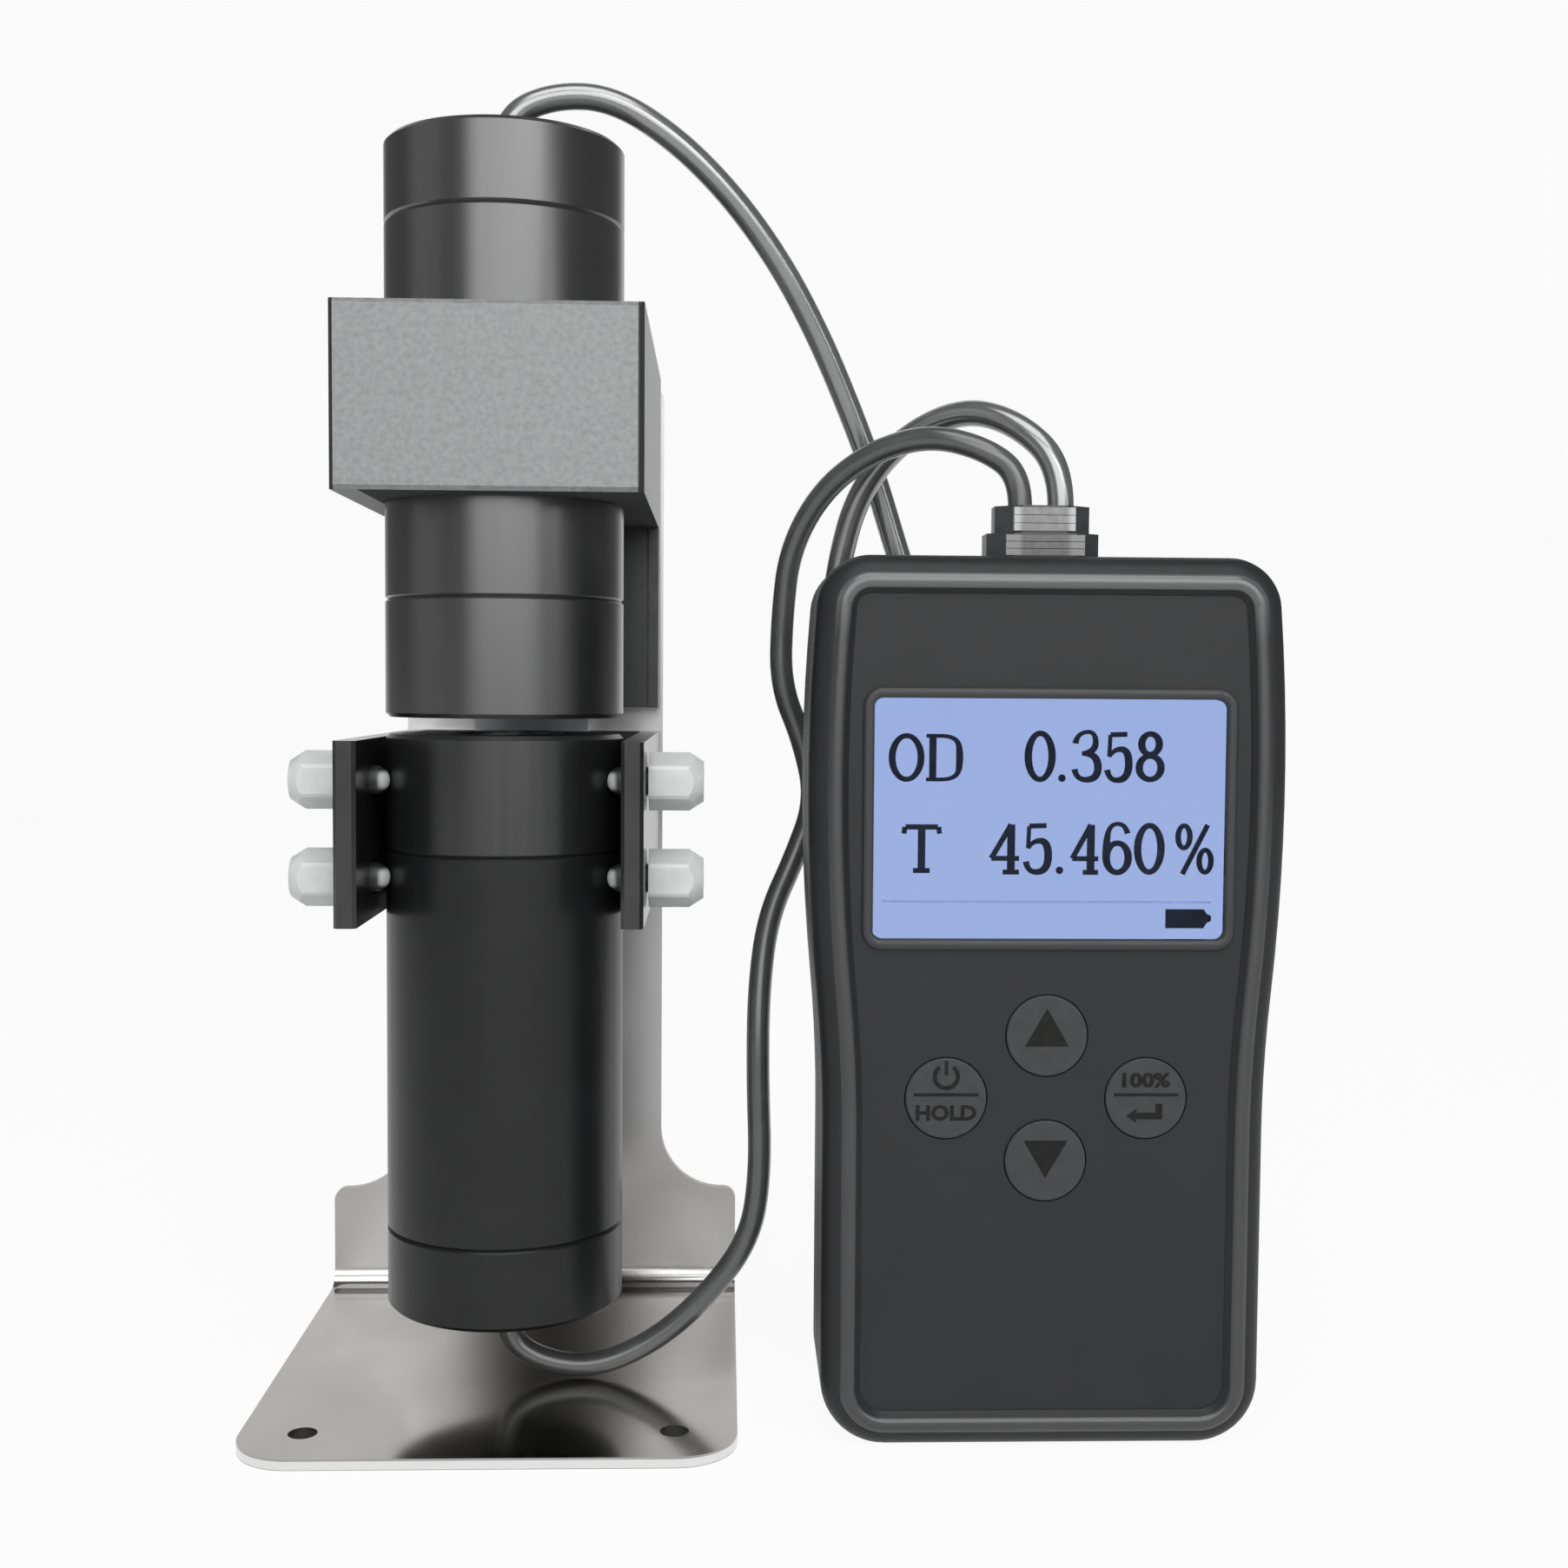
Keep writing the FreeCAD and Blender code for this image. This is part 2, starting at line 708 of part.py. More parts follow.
# nylon studs press on the barrel from both sides, each with a cap nut on its outer end
stud_ball_x = square_root((s.probe_radius + s.stud_radius + s.stud_tip_gap)
                          * (s.probe_radius + s.stud_radius + s.stud_tip_gap) - s.stud_y * s.stud_y)
nut_start = s.clamp_half_width + s.nut_gap
nut_length = s.nut_hex_length + s.nut_dome_length
for side, hand in ((-1, "left"), (1, "right")):
    way = "+X" if side > 0 else "-X"
    for height, row in zip(stud_heights, ("lower", "upper")):
        place = "%s_%s" % (row, hand)
        stud_end = nut_start + s.nut_bore_length - s.stud_tip_gap
        shank = rod(place + "_shank", way, s.stud_radius, stud_end - stud_ball_x,
                    (stud_ball_x * side, -s.stud_y, height))
        tip = ball(place + "_tip", s.stud_radius, (stud_ball_x * side, -s.stud_y, height))
        keep("clamp_stud_" + place, join(place + "_stud_solid", [shank, tip]))
        start = (nut_start * side, -s.stud_y, height)
        prism = doc.addObject("Part::Prism", place + "_prism")
        prism.Polygon = 6
        put(prism, start, TURNS[way])
        bind(prism, "Circumradius", s.nut_flats / math.sqrt(3))
        bind(prism, "Height", nut_length)
        trunk = rod(place + "_trunk", way, s.nut_corner_radius, s.nut_hex_length, start)
        dome = cone(place + "_dome", way, s.nut_corner_radius, s.nut_dome_radius, s.nut_dome_length,
                    ((nut_start + s.nut_hex_length) * side, -s.stud_y, height))
        outside = common(place + "_outside", [prism, join(place + "_trunk_dome", [trunk, dome])])
        bore = rod(place + "_bore", way, s.stud_radius + s.stud_thread_gap,
                   s.nut_bore_length + OVER, ((nut_start - OVER) * side, -s.stud_y, height))
        keep("clamp_nut_" + place, cut(place + "_nut_solid", outside, [bore]))

# ---------------------------------------------------------------- slide for the upper probe

rail_front = s.column_face - s.rail_thickness
rail_bottom = s.carriage_bottom
rail = body("guide_rail")
pad(rail, "dovetail", "XY", rail_bottom, lambda sketch: polygon(sketch, [
    (-s.rail_root_half_width, s.column_face),
    (s.rail_root_half_width, s.column_face),
    (s.rail_half_width, rail_front),
    (-s.rail_half_width, rail_front),
]), s.rail_top - rail_bottom, 1)
pocket(rail, "screw_holes", "XZ", s.column_face, lambda sketch: circles(
    sketch, rail_screw_spots, s.rear_screw_radius + s.slip_gap),
    s.rail_screw_bite + s.thread_end_gap, -1)

stop_top = s.carriage_bottom - s.stop_gap
keep("travel_stop", block("travel_stop_block",
                          (-s.stop_half_width, s.column_face - s.stop_depth, clamp_top),
                          (s.stop_half_width, s.column_face, stop_top)))

holder_top = s.holder_bottom + s.holder_height
carriage_back = s.column_face - s.carriage_back_gap
channel_front = rail_front - s.rail_gap
channel_half_width = s.rail_half_width + s.rail_gap
slope = (s.rail_half_width - s.rail_root_half_width) / s.rail_thickness
channel_mouth = s.rail_root_half_width + slope * s.carriage_back_gap + s.rail_gap
groove_inner = s.carriage_groove_x - s.carriage_groove_width / 2
groove_outer = s.carriage_groove_x + s.carriage_groove_width / 2
groove_floor = s.carriage_front + s.carriage_groove_depth


def carriage_outline(sketch):
    right = [
        (groove_inner, s.carriage_front),
        (groove_inner, groove_floor),
        (groove_outer, groove_floor),
        (groove_outer, s.carriage_front),
        (s.holder_half_width, s.carriage_front),
        (s.holder_half_width, carriage_back),
        (channel_mouth, carriage_back),
        (channel_half_width, channel_front),
    ]
    left = [(-x, y) for x, y in reversed(right)]
    polygon(sketch, right + left)


carriage = body("slide_carriage")
pad(carriage, "profile", "XY", s.carriage_bottom, carriage_outline,
    holder_top - s.carriage_bottom, 1)
for side, word in ((-1, "left"), (1, "right")):
    inner = s.carriage_neck_half_width * side
    outer = (s.holder_half_width + OVER) * side
    pocket(carriage, word + "_rebate", "XY", holder_top + OVER, lambda sketch: polygon(sketch, [
        (inner, s.carriage_front - OVER),
        (outer, s.carriage_front - OVER),
        (outer, carriage_back + OVER),
        (inner, carriage_back + OVER),
    ]), s.holder_height + OVER, -1)
holder_screw_spots = [(s.holder_screw_x * side, s.holder_bottom + s.holder_height / 2
                       + s.holder_screw_rise * rise) for side in (-1, 1) for rise in (-1, 1)]
pocket(carriage, "screw_holes", "XZ", carriage_back, lambda sketch: circles(
    sketch, holder_screw_spots, s.holder_screw_radius + s.slip_gap), None, -1)
pocket(carriage, "head_seats", "XZ", carriage_back, lambda sketch: circles(
    sketch, holder_screw_spots, s.holder_screw_head_radius + s.slip_gap),
    s.holder_screw_head + s.slip_gap, -1)

holder = body("holder_block")
neck_gap = s.carriage_neck_half_width + s.slip_gap
pad(holder, "block", "XY", s.holder_bottom, lambda sketch: polygon(sketch, [
    (-s.holder_half_width, -s.holder_front),
    (s.holder_half_width, -s.holder_front),
    (s.holder_half_width, carriage_back),
    (neck_gap, carriage_back),
    (neck_gap, s.carriage_front),
    (-neck_gap, s.carriage_front),
    (-neck_gap, carriage_back),
    (-s.holder_half_width, carriage_back),
]), s.holder_height, 1)
dress(holder, "Chamfer", "front_edges", s.holder_edge,
      lambda box: at_y(box, -s.holder_front))
pocket(holder, "bore", "XY", holder_top, lambda sketch: circles(
    sketch, [(ZERO, ZERO)], s.probe_radius + s.slip_gap), None, -1)
holder_middle = s.holder_bottom + s.holder_height / 2
pocket(holder, "grub_hole", "YZ", -s.holder_half_width - OVER, lambda sketch: circles(
    sketch, [(ZERO, holder_middle)], s.grub_radius + s.slip_gap), s.holder_half_width, 1)
pocket(holder, "screw_holes", "XZ", s.carriage_front, lambda sketch: circles(
    sketch, holder_screw_spots, s.holder_screw_radius + s.slip_gap),
    s.holder_screw_bite + s.thread_end_gap, -1)


def cap_screw(name, way, radius, head_radius, head_length, length, seat):
    """A screw whose head stands back from its seat; seat is where the head meets the work."""
    x, y, z = seat
    back = y + head_length
    shank = rod(name + "_shank", way, radius, length + head_length, (x, back, z))
    head = rod(name + "_head", way, head_radius, head_length, (x, back, z))
    hexagon = doc.addObject("Part::Prism", name + "_socket")
    hexagon.Polygon = 6
    put(hexagon, (x, back + OVER, z), TURNS[way])
    bind(hexagon, "Circumradius", head_radius * s.hex_socket_share)
    bind(hexagon, "Height", head_length * s.hex_socket_depth_share + OVER)
    return cut(name, join(name + "_blank", [shank, head]), [hexagon])


holder_head_seat = carriage_back - s.holder_screw_head
keep("holder_screws", group("holder_screw_set", [
    cap_screw("holder_screw_%d" % i, "-Y", s.holder_screw_radius, s.holder_screw_head_radius,
              s.holder_screw_head, holder_head_seat - s.carriage_front + s.holder_screw_bite,
              (x, holder_head_seat, z))
    for i, (x, z) in enumerate(holder_screw_spots)]))
keep("rail_screws", group("rail_screw_set", [
    cap_screw("rail_screw_%d" % i, "-Y", s.rear_screw_radius, s.rear_head_radius,
              s.rear_head_height, s.sheet + s.rail_screw_bite, (x, column_back, z))
    for i, (x, z) in enumerate(rail_screw_spots)]))
keep("clamp_screws", group("clamp_screw_set", [
    cap_screw("clamp_screw_%d" % i, "-Y", s.rear_screw_radius, s.rear_head_radius,
              s.rear_head_height, column_back - clamp_screw_tip, (x, column_back, z))
    for i, (x, z) in enumerate(clamp_screw_spots)]))
keep("grub_screw", rod("grub_screw_rod", "-X", s.grub_radius,
                       s.holder_half_width - s.grub_sink - s.probe_radius - s.slip_gap,
                       (-s.probe_radius - s.slip_gap, 0, holder_middle)))

# ---------------------------------------------------------------- meter

meter_back = s.meter_depth - s.meter_front
panel_face = -s.meter_front + s.panel_sink
panel_inner = panel_face + s.meter_wall
meter_top = s.meter_height


def waisted_outline(sketch, inset):
    """The meter's front view: round corners, sides that swell above a narrower waist."""
    inset = as_size(inset).value
    x = s.meter_x.value
    wide = s.meter_half_width.value
    narrow = s.meter_waist_half_width.value
    rise = s.meter_widest_height.value - s.meter_waist_height.value
    both_radii = (rise ** 2 + (wide - narrow) ** 2) / (2 * (wide - narrow))
    bulge = both_radii * s.meter_bulge_share.value
    hollow = both_radii - bulge + inset
    tilt = math.asin(rise / both_radii)
    top_corner = s.meter_top_corner.value
    top_z = s.meter_height.value - top_corner
    swing = math.asin((top_z - s.meter_widest_height.value) / (bulge - top_corner))
    top_x = wide - bulge + (bulge - top_corner) * math.cos(swing)
    bulge -= inset
    top_corner -= inset
    low_corner = s.meter_bottom_corner.value - inset
    low_x = narrow - s.meter_bottom_corner.value
    low_z = s.meter_bottom_corner.value

    def arc(centre, radius, start, end):
        def on(angle):
            return FreeCAD.Vector(centre[0] + radius * math.cos(angle),
                                  centre[1] + radius * math.sin(angle), 0)
        return on(start), on((start + end) / 2), on(end)

    right = [
        arc((low_x, low_z), low_corner, -math.pi / 2, 0),
        arc((narrow + hollow - inset, s.meter_waist_height.value), hollow, math.pi, math.pi - tilt),
        arc((wide - bulge - inset, s.meter_widest_height.value), bulge, -tilt, swing),
        arc((top_x, top_z), top_corner, swing, math.pi / 2),
    ]
    left = [tuple(FreeCAD.Vector(-point.x, point.y, 0) for point in reversed(ends))
            for ends in reversed(right)]
    arcs = [tuple(FreeCAD.Vector(point.x + x, point.y, 0) for point in ends)
            for ends in right + left]
    for i, ends in enumerate(arcs):
        sketch.addGeometry(Part.Arc(*ends))
        after = arcs[(i + 1) % len(arcs)][0]
        if (after - ends[2]).Length > 0.001:
            sketch.addGeometry(Part.LineSegment(ends[2], after))
    for i in range(sketch.GeometryCount):
        sketch.addConstraint(Sketcher.Constraint("Block", i))


def rounded(sketch, low, high, radius):
    """A rectangle with round corners."""
    x0, y0 = (as_size(size).value for size in low)
    x1, y1 = (as_size(size).value for size in high)
    r = as_size(radius).value
    k = r * (1 - math.sqrt(0.5))
    corners = [
        ((x1 - r, y0), (x1 - k, y0 + k), (x1, y0 + r)),
        ((x1, y1 - r), (x1 - k, y1 - k), (x1 - r, y1)),
        ((x0 + r, y1), (x0 + k, y1 - k), (x0, y1 - r)),
        ((x0, y0 + r), (x0 + k, y0 + k), (x0 + r, y0)),
    ]
    for i, corner in enumerate(corners):
        points = [FreeCAD.Vector(a, b, 0) for a, b in corner]
        following = FreeCAD.Vector(corners[(i + 1) % 4][0][0], corners[(i + 1) % 4][0][1], 0)
        first = sketch.GeometryCount
        sketch.addGeometry(Part.Arc(*points))
        sketch.addGeometry(Part.LineSegment(points[2], following))
        sketch.addConstraint(Sketcher.Constraint("Block", first))
        sketch.addConstraint(Sketcher.Constraint("Block", first + 1))


screen_left = s.meter_x - s.screen_half_width
screen_right = s.meter_x + s.screen_half_width
screen_top = s.screen_bottom + s.screen_height
key_spots = {
    "key_up": (s.meter_x, s.key_cross_height + s.key_up_step),
    "key_down": (s.meter_x, s.key_cross_height - s.key_up_step),
    "key_power": (s.meter_x - s.key_side_step, s.key_cross_height),
    "key_enter": (s.meter_x + s.key_side_step, s.key_cross_height),
}
boss_spots = [(s.meter_x + s.boss_x * side, height)
              for side in (-1, 1) for height in (s.boss_low, s.boss_high)]
pcb_bottom = s.boss_low + s.boss_radius + s.pcb_foot_margin
pcb_top = s.boss_high - s.boss_radius - s.pcb_top_margin
post_spots = [(s.meter_x + s.post_x * side, pcb_top - s.post_drop) for side in (-1, 1)]

front_case = body("meter_front_case")
pad(front_case, "shell", "XZ", -s.meter_parting, lambda sketch: waisted_outline(sketch, 0),
    s.meter_front - s.meter_parting, -1)
dress(front_case, "Fillet", "front_edge", s.meter_front_edge, lambda box: at_y(box, -s.meter_front))
dress(front_case, "Chamfer", "seam_edge", s.meter_seam, lambda box: at_y(box, -s.meter_parting))
pocket(front_case, "panel", "XZ", -s.meter_front,
       lambda sketch: waisted_outline(sketch, s.rim_width), s.panel_sink, 1)
rim_middle = (s.meter_front_edge.value + s.rim_width.value) / 2
rim_left = s.meter_x.value - s.meter_half_width.value + rim_middle
rim_right = s.meter_x.value + s.meter_half_width.value - rim_middle
dress(front_case, "Chamfer", "rim_slope", s.rim_slope,
      lambda box: at_y(box, -s.meter_front) and box.XMin > rim_left and box.XMax < rim_right
      and box.ZMin > rim_middle and box.ZMax < s.meter_height.value - rim_middle)
pocket(front_case, "cavity", "XZ", -s.meter_parting,
       lambda sketch: waisted_outline(sketch, s.meter_wall), -s.meter_parting - panel_inner, -1)
pad(front_case, "bezel", "XZ", panel_face, lambda sketch: rounded(
    sketch, (screen_left - s.bezel_width, s.screen_bottom - s.bezel_width),
    (screen_right + s.bezel_width, screen_top + s.bezel_width), s.screen_corner + s.bezel_width),
    s.bezel_rise, -1)
pocket(front_case, "screen_opening", "XZ", panel_face - s.bezel_rise - OVER,
       lambda sketch: rounded(sketch, (screen_left, s.screen_bottom), (screen_right, screen_top),
                              s.screen_corner), s.bezel_rise + s.meter_wall + OVER * 2, 1)
pocket(front_case, "key_holes", "XZ", panel_face - OVER, lambda sketch: circles(
    sketch, list(key_spots.values()), s.key_radius + s.key_gap), s.meter_wall + OVER * 2, 1)
pad(front_case, "bosses", "XZ", panel_inner - ROOT, lambda sketch: circles(
    sketch, boss_spots, s.boss_radius), -s.meter_parting - panel_inner + ROOT, 1)
pocket(front_case, "pilot_holes", "XZ", -s.meter_parting, lambda sketch: circles(
    sketch, boss_spots, s.case_screw_radius + s.slip_gap),
    s.case_screw_bite + s.thread_end_gap, -1)

plug_y = -s.meter_parting
socket_top = s.meter_height
socket_low = socket_top - s.socket_height
socket_left = s.meter_x - s.socket_half_width
socket_right = s.meter_x + s.socket_half_width


def socket_outline(sketch):
    rectangle(sketch, (socket_left - s.slip_gap, socket_low + s.socket_shoulder),
              (socket_right + s.slip_gap, socket_top + OVER))


pocket(front_case, "socket_notch", "XZ", -s.meter_parting, socket_outline,
       s.socket_half_depth + s.slip_gap, -1)

rear_case = body("meter_rear_case")
pad(rear_case, "shell", "XZ", -s.meter_parting, lambda sketch: waisted_outline(sketch, 0),
    meter_back + s.meter_parting, 1)
dress(rear_case, "Fillet", "rear_edge", s.meter_rear_edge, lambda box: at_y(box, meter_back))
dress(rear_case, "Chamfer", "seam_edge", s.meter_seam, lambda box: at_y(box, -s.meter_parting))
rear_inner = meter_back - s.meter_wall
pocket(rear_case, "cavity", "XZ", -s.meter_parting,
       lambda sketch: waisted_outline(sketch, s.meter_wall), rear_inner + s.meter_parting, 1)
cell_pitch = s.cell_radius * 2 + s.cell_gap
tray_half_width = cell_pitch * 1.5 + s.cell_gap / 2
tray_top = s.tray_bottom + s.cell_length + s.cell_nub + s.contact_room
cover_face = meter_back - s.cover_thickness
cell_y = cover_face - s.cell_gap - s.cell_radius
tray_floor = cell_y - s.cell_radius - s.cell_gap
tray_left = s.meter_x - tray_half_width
tray_right = s.meter_x + tray_half_width
pad(rear_case, "tray", "XZ", tray_floor - s.tray_wall, lambda sketch: rectangle(
    sketch, (tray_left - s.tray_wall, s.tray_bottom - s.tray_wall),
    (tray_right + s.tray_wall, tray_top + s.tray_wall)), rear_inner - tray_floor + s.tray_wall + ROOT, 1)
pocket(rear_case, "tray_room", "XZ", meter_back + OVER, lambda sketch: rectangle(
    sketch, (tray_left, s.tray_bottom), (tray_right, tray_top)), meter_back + OVER - tray_floor, -1)
cover_left = tray_left - s.cover_overlap
cover_right = tray_right + s.cover_overlap
cover_low = s.tray_bottom - s.cover_overlap
cover_high = tray_top + s.cover_overlap
pocket(rear_case, "cover_seat", "XZ", meter_back + OVER, lambda sketch: rounded(
    sketch, (cover_left, cover_low), (cover_right, cover_high), s.screen_corner),
    s.cover_thickness + OVER, -1)
pad(rear_case, "bosses", "XZ", -s.meter_parting, lambda sketch: circles(
    sketch, boss_spots, s.boss_radius), rear_inner + s.meter_parting + ROOT, 1)
pocket(rear_case, "screw_holes", "XZ", meter_back + OVER, lambda sketch: circles(
    sketch, boss_spots, s.case_screw_radius + s.slip_gap), None, -1)
pocket(rear_case, "screw_seats", "XZ", meter_back + OVER, lambda sketch: circles(
    sketch, boss_spots, s.case_screw_head_radius + s.slip_gap),
    s.case_screw_head + s.case_screw_sink + OVER, -1)
pocket(rear_case, "socket_notch", "XZ", -s.meter_parting, socket_outline,
       s.socket_half_depth + s.slip_gap, 1)

# display, boards and keys, from the front inwards
window_face = panel_face + s.window_gap
ledge_face = panel_inner
window = body("display_window")
pad(window, "pane", "XZ", window_face, lambda sketch: rounded(
    sketch, (screen_left + s.window_gap, s.screen_bottom + s.window_gap),
    (screen_right - s.window_gap, screen_top - s.window_gap), s.screen_corner),
    ledge_face - window_face, 1)
pad(window, "ledge", "XZ", ledge_face, lambda sketch: rounded(
    sketch, (screen_left - s.window_ledge, s.screen_bottom - s.window_ledge),
    (screen_right + s.window_ledge, screen_top + s.window_ledge), s.screen_corner),
    s.window_ledge_thickness, 1)
lcd_face = ledge_face + s.window_ledge_thickness
pcb_face = lcd_face + s.lcd_thickness
pcb_back = pcb_face + s.pcb_thickness
keep("display_module", block("display_module_block",
                             (screen_left - s.lcd_margin, lcd_face, s.screen_bottom - s.lcd_margin),
                             (screen_right + s.lcd_margin, pcb_face, screen_top + s.lcd_margin)))
pcb = body("main_board")
pad(pcb, "board", "XZ", pcb_face, lambda sketch: rectangle(
    sketch, (s.meter_x - s.pcb_half_width, pcb_bottom),
    (s.meter_x + s.pcb_half_width, pcb_top)), s.pcb_thickness, 1)
pad(rear_case, "board_posts", "XZ", pcb_back, lambda sketch: circles(
    sketch, post_spots, s.post_radius), rear_inner - pcb_back + ROOT, 1)

keypad_face = pcb_face - s.keypad_thickness
key_front = panel_face - s.key_rise
flange_front = panel_inner + s.key_flange_gap
key_back = flange_front + s.key_flange_thickness
dome_rise = keypad_face - key_back - s.key_travel - s.key_clearance
keypad = body("keypad_sheet")
keypad_reach = s.key_radius + s.keypad_margin
pad(keypad, "sheet", "XZ", pcb_face, lambda sketch: rectangle(
    sketch, (s.meter_x - s.key_side_step - keypad_reach,
             s.key_cross_height - s.key_up_step - keypad_reach),
    (s.meter_x + s.key_side_step + keypad_reach,
     s.key_cross_height + s.key_up_step + keypad_reach)), s.keypad_thickness, -1)
pad(keypad, "domes", "XZ", keypad_face, lambda sketch: circles(
    sketch, list(key_spots.values()), s.keypad_dome_radius), dome_rise, -1)
for name, (x, z) in key_spots.items():
    key = body(name)
    pad(key, "cap", "XZ", key_front, lambda sketch: circles(sketch, [(x, z)], s.key_radius),
        key_back - key_front, 1)
    dress(key, "Fillet", "rim", s.key_rise, lambda box: at_y(box, key_front))
    pad(key, "flange", "XZ", flange_front, lambda sketch: circles(
        sketch, [(x, z)], s.key_radius + s.key_flange), s.key_flange_thickness, 1)

# power: three cells in the tray, with a plate and coil at their ends
cells = []
plates = []
for i in (-1, 0, 1):
    x = s.meter_x + cell_pitch * i
    flip = i == 0
    low = s.tray_bottom + s.contact_room / 2
    base_end = low + s.cell_nub if flip else low
    nub_end = low if flip else low + s.cell_length
    can = rod("cell_can_%d" % (i + 1), "+Z", s.cell_radius, s.cell_length, (x, cell_y, base_end))
    nub = rod("cell_nub_%d" % (i + 1), "+Z", s.cell_nub_radius, s.cell_nub,
              (x, cell_y, nub_end))
    cells.append(join("cell_%d" % (i + 1), [can, nub]))
    for end, height in (("low", s.tray_bottom), ("high", tray_top - s.contact_room / 2)):
        plates.append(rod("contact_%s_%d" % (end, i + 1), "+Z", s.contact_radius,
                          s.contact_room / 2, (x, cell_y, height)))
keep("battery_cells", group("cell_set", cells))
keep("battery_contacts", group("contact_set", plates))

cover = body("battery_cover")
pad(cover, "plate", "XZ", cover_face, lambda sketch: rounded(
    sketch, (cover_left + s.cover_gap, cover_low + s.cover_gap),
    (cover_right - s.cover_gap, cover_high - s.cover_gap), s.screen_corner),
    s.cover_thickness, 1)
grip_heights = [cover_high - s.grip_drop - s.grip_pitch * i for i in range(4)]
for i, height in enumerate(grip_heights):
    pocket(cover, "grip_%d" % i, "XZ", meter_back, lambda sketch: rectangle(
        sketch, (s.meter_x - s.grip_half_length, height),
        (s.meter_x + s.grip_half_length, height + s.grip_width)), s.grip_depth, -1)

case_head_seat = meter_back - s.case_screw_head - s.case_screw_sink
keep("case_screws", group("case_screw_set", [
    cap_screw("case_screw_%d" % i, "-Y", s.case_screw_radius, s.case_screw_head_radius,
              s.case_screw_head, case_head_seat + s.meter_parting + s.case_screw_bite,
              (x, case_head_seat, z))
    for i, (x, z) in enumerate(boss_spots)]))

# socket in the meter's top, and the plug with its boot that takes both leads


def eight_sided(sketch, half_x, half_y):
    """A rectangle about the plug's axis with its four corners cut off."""
    x = half_x - s.plug_corner_x
    y = half_y - s.plug_corner_y
    corners = [(half_x, -y), (half_x, y), (x, half_y), (-x, half_y),
               (-half_x, y), (-half_x, -y), (-x, -half_y), (x, -half_y)]
    polygon(sketch, [(s.meter_x + a, plug_y + b) for a, b in corners])


socket = body("lead_socket")
pad(socket, "block", "XY", socket_low, lambda sketch: rectangle(
    sketch, (socket_left, plug_y - s.socket_half_depth),
    (socket_right, plug_y + s.socket_half_depth)), s.socket_height, 1)
pocket(socket, "slot", "XY", socket_top, lambda sketch: rectangle(
    sketch, (s.meter_x - s.plug_tongue_half_width - s.slip_gap,
             plug_y - s.plug_tongue_half_depth - s.slip_gap),
    (s.meter_x + s.plug_tongue_half_width + s.slip_gap,
     plug_y + s.plug_tongue_half_depth + s.slip_gap)), s.plug_tongue_length + s.thread_end_gap, -1)

plug = body("lead_plug")
pad(plug, "step", "XY", socket_top, lambda sketch: eight_sided(
    sketch, s.plug_half_width, s.plug_half_depth), s.plug_step, 1)
pad(plug, "tongue", "XY", socket_top, lambda sketch: rectangle(
    sketch, (s.meter_x - s.plug_tongue_half_width, plug_y - s.plug_tongue_half_depth),
    (s.meter_x + s.plug_tongue_half_width, plug_y + s.plug_tongue_half_depth)),
    s.plug_tongue_length, -1)
boot_bottom = socket_top + s.plug_step
boot_top = boot_bottom + s.boot_height
boot = body("plug_boot")
pad(boot, "boot", "XY", boot_bottom, lambda sketch: eight_sided(
    sketch, s.boot_half_width, s.boot_half_depth), s.boot_height, 1)

# ---------------------------------------------------------------- leads

# the share of the shorter run beside a turn that its arc takes up
ARC_SHARE = 0.45


def lead(name, points):
    """A tube along straight runs, joined by tangent arcs as large as the runs allow."""
    spots = [FreeCAD.Vector(*[as_size(size).value for size in point]) for point in points]
    edges = []
    radii = []
    start = spots[0]
    for before, corner, after in zip(spots, spots[1:], spots[2:]):
        reach = ARC_SHARE * min(before.distanceToPoint(corner), corner.distanceToPoint(after))
        back = (before - corner).normalize()
        ahead = (after - corner).normalize()
        half_turn = (math.pi - back.getAngle(ahead)) / 2
        radius = reach / math.tan(half_turn)
        inward = (back + ahead).normalize()
        middle = corner + inward * (radius / math.cos(half_turn) - radius)
        edges.append(Part.LineSegment(start, corner + back * reach).toShape())
        edges.append(Part.Arc(corner + back * reach, middle, corner + ahead * reach).toShape())
        start = corner + ahead * reach
        radii.append(round(radius, 1))
    edges.append(Part.LineSegment(start, spots[-1]).toShape())
    path = doc.addObject("Part::Feature", name + "_path")
    path.Shape = Part.Wire(edges)
    section = doc.addObject("Part::Circle", name + "_section")
    put(section, points[0])
    bind(section, "Radius", s.lead_radius)
    tube = doc.addObject("Part::Sweep", name + "_tube")
    tube.Sections = [section]
    tube.Spine = (path, ["Edge%d" % (i + 1) for i in range(len(edges))])
    tube.Solid = True
    tube.Frenet = False
    keep(name, tube)
    doc.recompute()
    length = path.Shape.Length
    volume = math.pi * s.lead_radius.value ** 2 * length
    assert abs(tube.Shape.Volume / volume - 1) < 0.005, name + " has the wrong volume"
    print(name, "is %.1f long and turns with radii" % length, radii)


